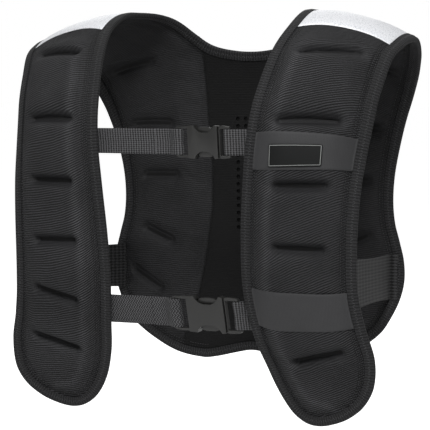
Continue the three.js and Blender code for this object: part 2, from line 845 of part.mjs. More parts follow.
// Rubber label on the upper band: a plate whose rim stands up as a frame
function labelPatch() {
  const step = 0.15;
  const lines = (length) => [
    0,
    LABEL_FRAME_WIDTH,
    LABEL_FRAME_WIDTH + step,
    ...[0.2, 0.4, 0.6, 0.8].map((share) => share * length),
    length - LABEL_FRAME_WIDTH - step,
    length - LABEL_FRAME_WIDTH,
    length,
  ];
  const alongLines = [0, LABEL_FRAME_WIDTH, LABEL_FRAME_WIDTH + step].concat(
    [LABEL_HEIGHT / 2, LABEL_HEIGHT - LABEL_FRAME_WIDTH - step],
    [LABEL_HEIGHT - LABEL_FRAME_WIDTH, LABEL_HEIGHT],
  );
  const grid = alongLines.map((down) => lines(LABEL_LENGTH).map((over) => [
    LABEL_CENTRE_ALONG - LABEL_HEIGHT / 2 + down + LABEL_SLOPE * (over - LABEL_LENGTH / 2),
    LABEL_CENTRE_X - LABEL_LENGTH / 2 + over,
  ]));
  const under = (along, across) => bandUnder(along, across) + BAND_THICKNESS + LABEL_LIFT;
  const top = (along, across) => {
    const middle = LABEL_CENTRE_ALONG + LABEL_SLOPE * (across - LABEL_CENTRE_X);
    const down = LABEL_HEIGHT / 2 - Math.abs(along - middle);
    const over = LABEL_LENGTH / 2 - Math.abs(across - LABEL_CENTRE_X);
    const onFrame = Math.min(down, over) < LABEL_FRAME_WIDTH + step / 2;
    return under(along, across) + LABEL_THICKNESS + (onFrame ? LABEL_FRAME_HEIGHT : 0);
  };
  return gridSolid(grid, top, under);
}

// Flat ribbon carried along a path seen from above, standing on edge.
// Columns of the path: x, y, centre z and, where it narrows, the share of the width that is left
function ribbon(path, width, thickness) {
  const positions = [];
  const count = path.length;
  path.forEach(([x, y, z, widthShare = 1], i) => {
    const before = path[Math.max(i - 1, 0)];
    const after = path[Math.min(i + 1, count - 1)];
    const first = new THREE.Vector2(x - before[0], y - before[1]).normalize();
    const second = new THREE.Vector2(after[0] - x, after[1] - y).normalize();
    const side = first.add(second).normalize();
    const bend = i > 0 && i < count - 1 ? Math.max(side.dot(second), 0.5) : 1;
    const half = thickness / 2 / bend;
    [[1, -1], [-1, -1], [-1, 1], [1, 1]].forEach(([across, up]) => {
      positions.push(
        x - side.y * half * across,
        y + side.x * half * across,
        z + (width / 2) * widthShare * up,
      );
    });
  });
  const indices = [0, 1, 2, 0, 2, 3];
  for (let i = 0; i < count - 1; i += 1) {
    const here = i * 4;
    const next = here + 4;
    for (let k = 0; k < 4; k += 1) {
      const k2 = (k + 1) % 4;
      indices.push(here + k, next + k, next + k2, here + k, next + k2, here + k2);
    }
  }
  const end = (count - 1) * 4;
  indices.push(end, end + 2, end + 1, end, end + 3, end + 2);
  const geometry = new THREE.BufferGeometry();
  geometry.setAttribute('position', new THREE.Float32BufferAttribute(positions, 3));
  geometry.setIndex(indices);
  return geometry;
}

// Round a corner of a path with short steps about a centre
function turn(centreX, centreY, radius, startDegrees, endDegrees, steps, z) {
  return shares(steps).map((share) => {
    const angle = THREE.MathUtils.degToRad(startDegrees + (endDegrees - startDegrees) * share);
    return [centreX + radius * Math.cos(angle), centreY + radius * Math.sin(angle), z];
  });
}

// Place along the cloth that has a height z, found from a first guess
function alongAtHeight(z, across, guess) {
  let along = guess;
  for (let i = 0; i < 30; i += 1) {
    const lift = z - surfacePoint(along, across).z;
    along += guess < 0 ? lift : -lift;
  }
  return along;
}

// Inner side of the front's inner edge over the width of a leaning strap
function frontInnerFace(z, width, lean) {
  const faces = [-0.5, -0.25, 0, 0.25, 0.5].map((share) => {
    const along = alongAtHeight(z + width * share, RAIL_INNER_X, z - 80);
    const edge = crossing([...innerEdge].reverse(), ALONG, along) - PANEL_INSET;
    const places = [edge, edge + STRAP_TAB].map((across) => clothPoint(along, across, -bindingHalf).y);
    return { edge, y: Math.max(...places) + lean * width * share };
  });
  return {
    edge: Math.min(...faces.map((face) => face.edge)),
    y: Math.max(...faces.map((face) => face.y)) + CLEARANCE,
  };
}

// A polygon from the upper rows of an outline, mirrored below the middle height
function buckleOutline(rows, placeX, half, z) {
  const lower = rows.map(([along, out]) => [placeX(along), z - out * half]);
  const upper = rows.map(([along, out]) => [placeX(along), z + out * half]);
  return [...lower, ...upper.reverse()];
}

// A strap's pieces lean with the cloth: lower places lie further back
function leanBack(geometry, z, lean) {
  const position = geometry.getAttribute('position');
  for (let i = 0; i < position.count; i += 1) {
    position.setY(i, position.getY(i) - lean * (position.getZ(i) - z));
  }
  return geometry;
}

// One chest strap: two webbings and a side release buckle, worked out from its row of the table
function chestStrap([name, z, webbingWidth, start, length, height, thickness, lean]) {
  const half = height / 2;
  const anchor = frontInnerFace(z, webbingWidth, lean);
  const anchorY = anchor.y + CLEARANCE + WEBBING_THICKNESS / 2;
  const y0 = anchorY - BUCKLE_FORWARD;
  const placeX = (share) => start + length * share;
  const frameThickness = thickness * BUCKLE_FRAME_SHARE;
  const cavity = thickness * BUCKLE_CAVITY_SHARE;
  const webbingLow = z - webbingWidth / 2 - BUCKLE_SIDE_ROOM;
  const webbingHigh = z + webbingWidth / 2 + BUCKLE_SIDE_ROOM;
  const slab = (outline, thick) => toManifold(prism(outline, y0 - thick / 2, y0 + thick / 2));

  // The socket: a hollow body with a notch above and below, and a loop with the bar for the right webbing
  const socketStart = placeX(SOCKET_BODY[0][0]);
  const socketEnd = placeX(SOCKET_BODY[SOCKET_BODY.length - 1][0]);
  const barEnd = placeX(SOCKET_BAR_SHARE);
  const body = slab(buckleOutline(SOCKET_BODY, placeX, half, z), thickness);
  const loop = slab(buckleOutline(SOCKET_LOOP, placeX, half, z), frameThickness);
  const barWindow = slab(rectangle(barEnd, socketStart, webbingLow, webbingHigh), thickness + 2);
  const hollowHalf = half - BUCKLE_WALL;
  const hollow = slab(
    rectangle(socketStart + BUCKLE_WALL, socketEnd + 1, z - hollowHalf, z + hollowHalf),
    cavity,
  );
  const notches = [-1, 1].map((side) => {
    const outline = NOTCH.map(([along, out]) => [placeX(along), z + side * out * half]);
    return slab(side > 0 ? outline : outline.reverse(), thickness + 2);
  });
  const socket = body.add(loop.subtract(barWindow)).subtract(hollow).subtract(wasm.Manifold.union(notches));

  // The plug: two springy prongs and a guide in the socket, and an open frame with a bar at its far end
  const plugStart = socketEnd + CLEARANCE;
  const plugEnd = placeX(1);
  const placePlugX = (share) => plugStart + (plugEnd - plugStart) * share;
  const frameWindow = slab(
    rectangle(plugStart + PLUG_BASE, plugEnd + 1, webbingLow, webbingHigh),
    thickness,
  );
  const frame = slab(buckleOutline(PLUG_FRAME, placePlugX, half, z), frameThickness).subtract(frameWindow);
  const plugBarMiddle = plugEnd - PLUG_BAR / 2 - PLUG_HOOK;
  const plugBar = slab(
    rectangle(plugBarMiddle - PLUG_BAR / 2, plugBarMiddle + PLUG_BAR / 2, webbingLow - 1, webbingHigh + 1),
    PLUG_BAR,
  );
  const prongThick = cavity - 2 * CLEARANCE;
  const prongOut = hollowHalf - CLEARANCE;
  const prongs = [-1, 1].map((side) => {
    const outline = [
      [plugStart + 1, prongOut - PRONG_WIDTH],
      [plugStart + 1, prongOut],
      [placeX(PRONG_TIP[0][0]), prongOut],
      ...PRONG_TIP.map(([along, out]) => [placeX(along), half * out]),
      [placeX(PRONG_TIP[PRONG_TIP.length - 1][0]) - 1, prongOut - PRONG_WIDTH],
    ].map(([x, out]) => [x, z + side * out]);
    return slab(side > 0 ? outline : outline.reverse(), prongThick);
  });
  const guide = slab(
    rectangle(socketStart + 2 * BUCKLE_WALL, plugStart + 1, z - PLUG_GUIDE / 2, z + PLUG_GUIDE / 2),
    prongThick,
  );
  const plug = wasm.Manifold.union([frame, plugBar, guide, ...prongs]);

  // The right webbing comes round the socket's bar from behind and is sewn to its own front
  const loopGap = CLEARANCE * 1.6 + WEBBING_THICKNESS / 2;
  const rightRadius = frameThickness / 2 + loopGap;
  const barReach = (barEnd - start) / 2;
  const straight = y0 + rightRadius;
  const tail = straight - WEBBING_THICKNESS - CLEARANCE;
  const rightPath = [
    [-anchor.edge - STRAP_TAB, anchorY, z],
    [-anchor.edge + 3, anchorY, z],
    [-anchor.edge + 18, straight, z],
    [start - 30, straight, z],
    [start - 12, straight, z],
    [(start + barEnd) / 2, straight, z],
    ...turn(barEnd - barReach * 0.55, y0, rightRadius, 62, -90, 6, z),
    [start, y0 - rightRadius, z],
    [start - 3.2, y0 - rightRadius * 0.55, z],
    [start - 9, tail, z],
    [start - WEBBING_TAIL, tail, z],
  ];

  // The left webbing comes over the front of the plug's bar, round it and a little way back behind itself
  const leftRadius = PLUG_BAR / 2 + loopGap;
  const leftPath = [
    [anchor.edge + STRAP_TAB, anchorY, z],
    [anchor.edge - 1, anchorY, z],
    [plugBarMiddle + 2, y0 - leftRadius + 0.6, z],
    ...turn(plugBarMiddle, y0, leftRadius, -96, -270, 7, z),
    [plugBarMiddle + PLUG_TAIL, y0 + leftRadius, z],
  ];
  const pieces = {
    [`chest_webbing_${name}_right`]: ribbon(rightPath, webbingWidth, WEBBING_THICKNESS),
    [`chest_webbing_${name}_left`]: ribbon(leftPath, webbingWidth, WEBBING_THICKNESS),
    [`buckle_socket_${name}`]: fromManifold(socket),
    [`buckle_plug_${name}`]: fromManifold(plug),
  };
  Object.values(pieces).forEach((geometry) => leanBack(geometry, z, lean));
  return pieces;
}

// Side strap on the wearer's left, from behind the front's outer edge to the back's flare
function sideStrap() {
  const away = CLEARANCE + SIDE_STRAP_THICKNESS / 2;
  const steps = [-0.5, -0.25, 0, 0.25, 0.5].map((share) => share * SIDE_STRAP_WIDTH);
  const facesAt = (z, guess, inward) => steps.map((step) => {
    const along = alongAtHeight(z + step, RAIL_OUTER_X, guess);
    const edge = crossing(outerEdge, ALONG, along) + PANEL_INSET;
    const { x, y } = clothPoint(along, edge - inward, -bindingHalf);
    return { x, y };
  });
  const rearmost = (faces) => Math.max(...faces.map((face) => face.y)) + away;
  const foremost = (faces) => Math.min(...faces.map((face) => face.y)) - away;
  const middleX = (faces) => Math.min(...faces.map((face) => face.x));
  const frontTab = facesAt(SIDE_STRAP_FRONT_Z, SIDE_STRAP_FRONT_Z - 90, STRAP_TAB + 4);
  const frontBend = facesAt(SIDE_STRAP_FRONT_Z, SIDE_STRAP_FRONT_Z - 90, 4);
  const backTab = facesAt(SIDE_STRAP_BACK_Z, 56 - SIDE_STRAP_BACK_Z, 2);
  const backBend = facesAt(SIDE_STRAP_BACK_Z, 56 - SIDE_STRAP_BACK_Z, STRAP_TAB + 2);
  const frontX = middleX(frontBend);
  const frontY = rearmost(frontBend);
  const backX = middleX(backBend);
  const backY = Math.min(foremost(backTab), foremost(backBend));
  const span = shares(6).map((share) => {
    const hollow = 4 * share * (1 - share);
    return [
      frontX + (backX - 1 - frontX) * share,
      frontY + 4 + (backY - 8 - frontY) * share,
      SIDE_STRAP_FRONT_Z + (SIDE_STRAP_BACK_Z - SIDE_STRAP_FRONT_Z) * share,
      1 - SIDE_STRAP_HOLLOW_SHARE * hollow,
    ];
  });
  const path = [
    [middleX(frontTab), rearmost(frontTab), SIDE_STRAP_FRONT_Z],
    [frontX - 1, frontY, SIDE_STRAP_FRONT_Z],
    [frontX, frontY + 1, SIDE_STRAP_FRONT_Z],
    ...span,
    [backX - 0.7, backY - 1, SIDE_STRAP_BACK_Z],
    [backX + 0.3, backY, SIDE_STRAP_BACK_Z],
    [middleX(backTab), backY, SIDE_STRAP_BACK_Z],
  ];
  return ribbon(path, SIDE_STRAP_WIDTH, SIDE_STRAP_THICKNESS);
}

// Materials: colour as sRGB, roughness and metalness read off the photograph
const FINISH = {
  panel: { colour: 0x232325, roughness: 0.92, metalness: 0 },
  binding: { colour: 0x1b1b1d, roughness: 0.88, metalness: 0 },
  strip: { colour: 0xd9dadc, roughness: 0.42, metalness: 0.35 },
  webbing: { colour: 0x3c3d40, roughness: 0.85, metalness: 0 },
  band: { colour: 0x3b3c3f, roughness: 0.78, metalness: 0 },
  buckle: { colour: 0x37383a, roughness: 0.45, metalness: 0 },
  label: { colour: 0x2c3334, roughness: 0.55, metalness: 0 },
};

const vest = new THREE.Group();
vest.name = 'weighted_vest';

function addPiece(name, geometry, finish) {
  const material = new THREE.MeshStandardMaterial({
    color: finish.colour,
    roughness: finish.roughness,
    metalness: finish.metalness,
  });
  const mesh = new THREE.Mesh(geometry, material);
  mesh.name = name;
  vest.add(mesh);
}

const slittedTop = (along, across) => frontTop(along, across, frontSlits);
const frontPanel = gridSolid(frontGrid(), slittedTop, frontUnder);
addPiece('front_panel_left', frontPanel, FINISH.panel);
addPiece('front_panel_right', mirrorSolid(frontPanel), FINISH.panel);

const backPad = gridSolid(backGrid(), backTop, backUnder);
addPiece('back_pad_left', backPad, FINISH.panel);
addPiece('back_pad_right', mirrorSolid(backPad), FINISH.panel);
addPiece('back_centre', backCentre(), FINISH.panel);

addPiece('edge_binding', edgeBinding(), FINISH.binding);

const strip = reflectiveStrip();
addPiece('reflective_strip_left', strip, FINISH.strip);
addPiece('reflective_strip_right', mirrorSolid(strip), FINISH.strip);

BANDS.forEach((row) => addPiece(`elastic_band_${row[0]}`, elasticBand(row), FINISH.band));
addPiece('label_patch', labelPatch(), FINISH.label);

CHEST_STRAPS.forEach((row) => {
  Object.entries(chestStrap(row)).forEach(([name, geometry]) => {
    addPiece(name, geometry, name.startsWith('buckle') ? FINISH.buckle : FINISH.webbing);
  });
});

const strap = sideStrap();
addPiece('side_strap_left', strap, FINISH.webbing);
addPiece('side_strap_right', mirrorSolid(strap), FINISH.webbing);

export default vest;
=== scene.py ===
"""Weighted vest: padded fronts and back, bound edge, chest and side straps, buckles, bands and strips.

Lengths in the tables and functions are millimetres on the flat cloth, and meshes are made in metres.
Along runs over the shoulder, front negative. Across runs from the middle to the wearer's left.
"""

import json
import math

import bmesh
import bpy
import numpy as np
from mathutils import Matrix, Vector

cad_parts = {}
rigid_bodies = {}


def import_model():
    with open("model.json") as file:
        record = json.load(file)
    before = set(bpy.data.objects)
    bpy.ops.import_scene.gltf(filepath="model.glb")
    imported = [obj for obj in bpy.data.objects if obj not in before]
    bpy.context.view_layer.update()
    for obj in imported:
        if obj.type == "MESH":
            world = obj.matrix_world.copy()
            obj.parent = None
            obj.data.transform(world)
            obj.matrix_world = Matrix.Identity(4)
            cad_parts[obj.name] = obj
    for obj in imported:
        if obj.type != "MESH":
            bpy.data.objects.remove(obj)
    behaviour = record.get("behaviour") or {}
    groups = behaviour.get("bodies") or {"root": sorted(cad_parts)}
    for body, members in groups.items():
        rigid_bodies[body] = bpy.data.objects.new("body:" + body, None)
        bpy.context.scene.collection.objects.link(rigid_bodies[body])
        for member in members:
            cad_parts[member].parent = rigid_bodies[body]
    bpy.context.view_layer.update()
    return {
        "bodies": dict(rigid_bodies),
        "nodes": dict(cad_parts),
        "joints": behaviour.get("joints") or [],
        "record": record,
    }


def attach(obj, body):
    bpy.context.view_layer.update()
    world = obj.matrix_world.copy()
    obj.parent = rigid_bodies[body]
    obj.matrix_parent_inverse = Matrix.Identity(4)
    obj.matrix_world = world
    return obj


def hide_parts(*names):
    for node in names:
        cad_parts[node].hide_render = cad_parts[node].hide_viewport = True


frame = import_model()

bl_info = {
    "name": "Weighted Vest",
    "version": (1, 0, 0),
    "blender": (4, 5, 0),
    "location": "View3D > Sidebar > Vest",
    "description": "Dresses the packed weighted vest with cloth, tape, webbing and moulded plastic",
    "category": "Object",
}

MM = 0.001
BODY = "root"

# Main sizes of the vest
VEST_HEIGHT = 418.0
VEST_DEPTH = 240.0
HALF_WIDTH = 211.0
RAIL_INNER_X = 80.0
RAIL_OUTER_X = 195.0
MARGIN_THICKNESS = 3.0
CLEARANCE = 0.4
SIDES = (("left", False), ("right", True))

# Binding: a folded tape, with its section's fold and the slot that the cloth lies in
BINDING_WIDTH = 9.5
BINDING_TAPE = 0.9
BINDING_SLOT_GAP = 0.6
FOLD_START = 0.9
FOLD_REACH = 1.4
FOLD_SHARE = 0.86
SLOT_END = 1.6

# Padding of the fronts and the back
PANEL_INSET = 2.3
FRONT_PUFF = 9.5
BACK_PUFF = 5.0
INNER_PUFF = 4.5
BACK_INNER_PUFF = INNER_PUFF + 1.2
FLAT_MARGIN = 9.0
PUFF_RAMP = 30.0
SHOULDER_PUFF_SHARE = 0.22
SLIT_DEPTH_SHARE = 0.8
SLIT_SPREAD = 6.5
SHOULDER_SEAM_ALONG = -14.0
LEAST_TOP = 0.2
MOST_BOTTOM = -0.6

# How full the padding is where the slits fade in and where the cloth is held flat
GROOVE_FULLNESS = (0.0, 0.25)
FLAT_FULLNESS = (0.3, 0.08)

# Slits: the sewn island, the walls round it and the crease that the upper wall makes
SLIT_HALF = 3.0
SLIT_WALL = 2.1
SLIT_TAPER = 0.35
SLIT_ROLL = 1.1
SLIT_BANK_ABOVE = 1.1
SLIT_BANK_BELOW = 2.9
ISLAND_DEPTH = 1.1
CREASE_DEPTH = 0.9
RIDGE_FADE = (8.0, 2.0)

# Painted shade that darkens the slits: where they are sewn shut, where they gape and the hollow round them
SEWN_SHADE = 0.95
OPEN_SHADE = 0.35
HOLLOW_SHADE = 0.4

# Knit rows, which bend and fade at the slits, and the crest along the fronts' inner edge, which also gets a
# painted highlight
DRAWN_REACH = 8.5
BEND_SHARE = 0.3
BEND_REACH = 6.0
CREST_INSET = 25.0
CREST_HEIGHT = 0.7
CREST_REACH = 4.5
CREST_FULL_ALONG = -150.0

# Seams and stitched rows
SEAM_LAP = 0.3
SEAM_REACH = 1.4
FIRST_ROW = BINDING_WIDTH + 1.9
STITCH_ROWS = (FIRST_ROW, FIRST_ROW + 3.2)
STITCH_SINK = 0.3
FRONT_ROW_DEPTH = 0.55
BACK_ROW_DEPTH = 0.5

# Settling of the skin in a short cloth simulation
SKIN_STEP = 3
SKIN_FRAMES = 14
SKIN_TRAVEL = 1.0
SKIN_RULES = {
    "quality": 5,
    "mass": 0.05,
    "tension_stiffness": 30,
    "compression_stiffness": 30,
    "shear_stiffness": 8,
    "bending_stiffness": 2.0,
    "air_damping": 2,
    "shrink_min": -0.01,
    "vertex_group_mass": "held",
    "use_pressure": True,
    "uniform_pressure_force": 3.0,
}

# Reflective strips and elastic bands
STRIP_THICKNESS = 0.8
STRIP_FRONT_ALONG = -80.0
STRIP_REAR_ALONG = 16.0
STRIP_FRONT_HOLLOW = 7.0
BAND_THICKNESS = 1.5
BAND_LIFT = 0.9

# Label
LABEL_LENGTH = 46.5
LABEL_HEIGHT = 20.5
LABEL_THICKNESS = 1.3
LABEL_FRAME_INSET = 0.5
LABEL_FRAME_WIDTH = 1.0
LABEL_FRAME_HEIGHT = 0.6
LABEL_CORNER = 1.6
LABEL_CENTRE_X = 128.5
LABEL_CENTRE_ALONG = -228.5
LABEL_SLOPE = 0.055
LABEL_LIFT = 0.7

# Perforations of the back
HOLE_COLUMNS = 5
HOLE_ROWS = 16
HOLE_COLUMN_PITCH = 9.6
HOLE_ROW_PITCH = 8.2
HOLE_TOP_Z = -113.0
PINS_DEPTH = 1.6 * MARGIN_THICKNESS
# Painted shade inside each hole, from this far behind its mouth and over this depth
HOLE_MOUTH = 0.8
HOLE_SHADE_DEPTH = 1.95

# Rows and columns of the cloth meshes
FRONT_GRID = (330, 94)
BACK_GRID = (280, 84)
CENTRE_GRID = (170, 70)

# Side profile of the cloth, from the front hem over the shoulder to the back hem.
# Y is a share of VEST_DEPTH and Z of VEST_HEIGHT. Columns: innerY, innerZ, outerY, outerZ
PROFILE = [
    (-0.317, -1.000, -0.379, -1.000),
    (-0.333, -0.928, -0.383, -0.928),
    (-0.379, -0.849, -0.388, -0.849),
    (-0.438, -0.782, -0.408, -0.782),
    (-0.479, -0.718, -0.429, -0.718),
    (-0.504, -0.658, -0.446, -0.658),
    (-0.525, -0.574, -0.450, -0.579),
    (-0.542, -0.490, -0.446, -0.498),
    (-0.554, -0.407, -0.429, -0.421),
    (-0.558, -0.323, -0.396, -0.347),
    (-0.533, -0.246, -0.367, -0.282),
    (-0.479, -0.179, -0.338, -0.218),
    (-0.404, -0.112, -0.287, -0.158),
    (-0.312, -0.062, -0.225, -0.105),
    (-0.196, -0.024, -0.125, -0.072),
    (-0.071, -0.002, -0.025, -0.057),
    (0.058, 0.002, 0.067, -0.057),
    (0.175, 0.000, 0.158, -0.077),
    (0.263, -0.014, 0.233, -0.105),
    (0.333, -0.048, 0.300, -0.148),
    (0.383, -0.096, 0.350, -0.196),
    (0.408, -0.156, 0.383, -0.249),
    (0.421, -0.227, 0.404, -0.306),
    (0.429, -0.311, 0.429, -0.371),
    (0.433, -0.407, 0.446, -0.445),
    (0.438, -0.502, 0.450, -0.522),
    (0.438, -0.598, 0.450, -0.608),
    (0.433, -0.694, 0.442, -0.699),
    (0.429, -0.789, 0.417, -0.789),
    (0.425, -0.885, 0.404, -0.885),
    (0.421, -0.957, 0.396, -0.957),
]
SHOULDER_ROW = 16

# Half of the vest's edge, from the middle of the neckline round to the middle of the hem.
# Columns: along as a share of VEST_HEIGHT, across as a share of HALF_WIDTH
EDGE = [
    (0.2249, 0.0000), (0.2225, 0.0782), (0.2136, 0.1706), (0.2007, 0.2308), (0.1778, 0.2820),
    (0.1457, 0.3318), (0.0811, 0.4076), (0.0096, 0.4502), (-0.0742, 0.4668), (-0.1818, 0.4668),
    (-0.2799, 0.4384), (-0.4187, 0.4005), (-0.5335, 0.3791), (-0.6459, 0.3602), (-0.7584, 0.3460),
    (-0.8744, 0.3460), (-1.0000, 0.3791), (-1.0718, 0.4123), (-1.1388, 0.4573), (-1.1890, 0.5166),
    (-1.2153, 0.5829), (-1.2225, 0.6493), (-1.2153, 0.7251), (-1.1962, 0.8104), (-1.1627, 0.8886),
    (-1.1136, 0.9384), (-1.0407, 0.9455), (-0.9641, 0.9123), (-0.8900, 0.8863), (-0.8218, 0.8791),
    (-0.6818, 0.8839), (-0.5359, 0.9028), (-0.3804, 0.9313), (-0.2632, 0.9573), (-0.1651, 0.9882),
    (-0.0670, 1.0000), (0.0239, 0.9953), (0.0957, 0.9739), (0.1675, 0.9360), (0.2416, 0.8934),
    (0.3349, 0.8436), (0.4330, 0.8009), (0.5263, 0.7701), (0.6029, 0.7607), (0.6651, 0.7701),
    (0.7177, 0.7962), (0.7691, 0.8199), (0.8230, 0.8246), (0.8756, 0.8033), (0.9258, 0.7583),
    (0.9665, 0.7038), (1.0096, 0.5924), (1.0467, 0.4455), (1.0598, 0.2891), (1.0550, 0.2133),
    (1.0431, 0.1185), (1.0335, 0.0379), (1.0318, 0.0000),
]

# Seam between the middle and the side of the back. Columns: along, across, in the same shares
BACK_SEAM = [
    (0.1435, 0.2844), (0.2368, 0.2749), (0.3995, 0.2607), (0.5239, 0.2393), (0.6435, 0.2417),
    (0.8014, 0.2844), (0.8780, 0.3152), (1.0167, 0.4076), (1.0766, 0.4502),
]

# Slit dents. Columns: along, across, length, and how far along the slit goes for each unit across
FRONT_SLITS = [
    (-1.0359, 0.6848, 0.2038, 0.2791),
    (-0.9043, 0.6422, 0.1943, 0.2439),
    (-0.7661, 0.6232, 0.1943, -0.0122),
    (-0.6172, 0.6327, 0.2038, 0.0465),
    (-0.4617, 0.6540, 0.2370, 0.1200),
    (-0.2703, 0.7014, 0.2370, 0.2400),
]
BACK_SLITS = [
    (0.2249, 0.6848, 0.1943, -0.1463),
    (0.4074, 0.5853, 0.1943, -0.1805),
    (0.5559, 0.5427, 0.1659, -0.0600),
    (0.7233, 0.5592, 0.1327, -0.4536),
    (0.8475, 0.6209, 0.1422, -0.6167),
]

# Elastic bands, as shares of VEST_HEIGHT. Columns: name, lower and upper edge inside, the same outside
BANDS = [
    ("upper", -0.5837, -0.4976, -0.5740, -0.4900),
    ("lower", -0.9593, -0.8640, -0.9569, -0.8690),
]

# Camera, fitted to the photograph's perspective
CAMERA_AZIMUTH = math.radians(22.0)
CAMERA_ELEVATION = math.radians(4.54)
CAMERA_DISTANCE = 1.712
CAMERA_LENS = 133.95
CAMERA_SENSOR = 36.0
TARGET_RIGHT = -0.00585
TARGET_HEIGHT = -0.214
FLOOR_Z = -0.62
FLOOR_HALF = 40.0
WORLD_GLOW = 0.22


class SmoothTable:
    """A smooth curve through the rows of a table, spaced by the distance over its first columns."""

    def __init__(self, rows, spacing_columns=2):
        self.rows = np.array(rows, float)
        steps = np.diff(self.rows[:, :spacing_columns], axis=0)
        self.knots = np.concatenate([[0.0], np.cumsum(np.linalg.norm(steps, axis=1))])
        last = len(self.rows) - 1
        before = np.clip(np.arange(last + 1) - 1, 0, last)
        after = np.clip(np.arange(last + 1) + 1, 0, last)
        span = (self.knots[after] - self.knots[before])[:, None]
        self.slopes = (self.rows[after] - self.rows[before]) / span

    def at(self, position):
        position = np.asarray(position, float)
        i = np.clip(np.searchsorted(self.knots, position) - 1, 0, len(self.knots) - 2)
        span = self.knots[i + 1] - self.knots[i]
        t = ((position - self.knots[i]) / span)[..., None]
        span = span[..., None]
        t2 = t * t
        t3 = t2 * t
        return (
            (2 * t3 - 3 * t2 + 1) * self.rows[i]
            + (t3 - 2 * t2 + t) * span * self.slopes[i]
            + (3 * t2 - 2 * t3) * self.rows[i + 1]
            + (t3 - t2) * span * self.slopes[i + 1]
        )


profile = SmoothTable([
    (row[0] * VEST_DEPTH, row[1] * VEST_HEIGHT, row[2] * VEST_DEPTH, row[3] * VEST_HEIGHT)
    for row in PROFILE
])
shoulder_knot = profile.knots[SHOULDER_ROW]


def surface_point(along, across):
    """The cloth's middle surface in millimetres."""
    rails = profile.at(along + shoulder_knot)
    reach = np.maximum(0.0, (np.abs(across) - RAIL_INNER_X) / (RAIL_OUTER_X - RAIL_INNER_X))
    share = reach * reach
    y = rails[..., 0] + (rails[..., 2] - rails[..., 0]) * share
    z = rails[..., 1] + (rails[..., 3] - rails[..., 1]) * share
    return np.stack([across + 0 * y, y, z], axis=-1)


def surface_normal(along, across):
    """Unit normal that points away from the wearer."""
    step = 0.5
    along_step = surface_point(along + step, across) - surface_point(along - step, across)
    across_step = surface_point(along, across + step) - surface_point(along, across - step)
    normal = np.cross(across_step, along_step)
    return normal / np.linalg.norm(normal, axis=-1, keepdims=True)


def cloth_point(along, across, height):
    """A place over the cloth, in metres."""
    along = np.asarray(along, float)
    across = np.asarray(across, float)
    height = np.asarray(height, float)
    normal = surface_normal(along, across)
    return (surface_point(along, across) + normal * height[..., None]) * MM


def smooth_step(low, high, value):
    t = np.clip((value - low) / (high - low), 0.0, 1.0)
    return t * t * (3 - 2 * t)


def bell(distance, reach):
    """One at a line, and close to none past twice its reach."""
    return np.exp(-((distance / reach) ** 2))


def edge_line():
    """Half of the edge as close points, and the directions that point into the cloth."""
    rows = [(along * VEST_HEIGHT, across * HALF_WIDTH) for along, across in EDGE]
    mirrored = [(rows[1][0], -rows[1][1]), (rows[-2][0], -rows[-2][1])]
    curve = SmoothTable([mirrored[0], *rows, mirrored[1]])
    count = int(round((curve.knots[-2] - curve.knots[1]) / 1.5))
    places = np.linspace(curve.knots[1], curve.knots[-2], count + 1)
    direction = curve.at(places + 0.5) - curve.at(places - 0.5)
    direction /= np.linalg.norm(direction, axis=1, keepdims=True)
    inward = np.stack([direction[:, 1], -direction[:, 0]], axis=1)
    return curve.at(places), inward


edge_points, edge_inward = edge_line()


def inset_edge(inset):
    return edge_points + edge_inward * inset


def edge_sides(inset):
    """The inner and the outer side of the inset edge, each with along rising."""
    line = inset_edge(inset)
    lowest = int(np.argmin(line[:, 0]))
    highest = int(np.argmax(line[:, 0]))
    return line[:lowest + 1][::-1], line[lowest:highest + 1]


panel_edge = inset_edge(PANEL_INSET)
panel_inner, panel_outer = edge_sides(PANEL_INSET)
beside_inner, beside_outer = edge_sides(BINDING_WIDTH + CLEARANCE)
front_limit = panel_inner[0, 0]
seam_line = np.array(BACK_SEAM) * (VEST_HEIGHT, HALF_WIDTH)


def across_at(line, along):
    return np.interp(along, line[:, 0], line[:, 1])


def seam_across(along):
    return across_at(seam_line, along)


def distance_to(points, along, across):
    """Distance from places on the flat cloth to a line of points."""
    place = np.stack([np.ravel(along), np.ravel(across)], axis=1)
    best = np.full(len(place), np.inf)
    points = np.asarray(points, float)
    for start, end in zip(points[:-1], points[1:]):
        run = end - start
        share = np.clip(((place - start) @ run) / (run @ run), 0.0, 1.0)
        gap = np.linalg.norm(place - start - share[:, None] * run, axis=1)
        best = np.minimum(best, gap)
    return best.reshape(np.shape(along))


def slit_ends(row):
    along, across, length, slope = row
    half = length * HALF_WIDTH / 2
    middle = np.array([along * VEST_HEIGHT, across * HALF_WIDTH])
    reach = np.array([slope * half, half])
    return middle - reach, middle + reach


front_slits = [slit_ends(row) for row in FRONT_SLITS]
back_slits = [slit_ends(row) for row in BACK_SLITS]


def fullness(edge_distance, slits, along, across):
    """How full the padding is: none in the flat margin, drawn in at each slit."""
    share = np.clip((edge_distance - FLAT_MARGIN) / PUFF_RAMP, 0.0, 1.0)
    full = 1 - (1 - share) ** 2.2
    for ends in slits:
        full = full * (1 - SLIT_DEPTH_SHARE * bell(distance_to(ends, along, across), SLIT_SPREAD))
    return full


def front_fullness(along, across, slits):
    to_strip = smooth_step(STRIP_FRONT_ALONG - 6, STRIP_FRONT_ALONG - 44, along)
    shoulder = SHOULDER_PUFF_SHARE + (1 - SHOULDER_PUFF_SHARE) * to_strip
    return shoulder * fullness(distance_to(panel_edge[::2], along, across), slits, along, across)


def back_fullness(along, across, slits):
    to_strip = smooth_step(STRIP_REAR_ALONG + 4, STRIP_REAR_ALONG + 40, along)
    shoulder = SHOULDER_PUFF_SHARE + (1 - SHOULDER_PUFF_SHARE) * to_strip
    to_edge = distance_to(panel_edge[::2], along, across)
    to_seam = np.where(along < seam_line[0, 0], np.inf, np.abs(across - seam_across(along)))
    return shoulder * fullness(np.minimum(to_edge, to_seam), slits, along, across)


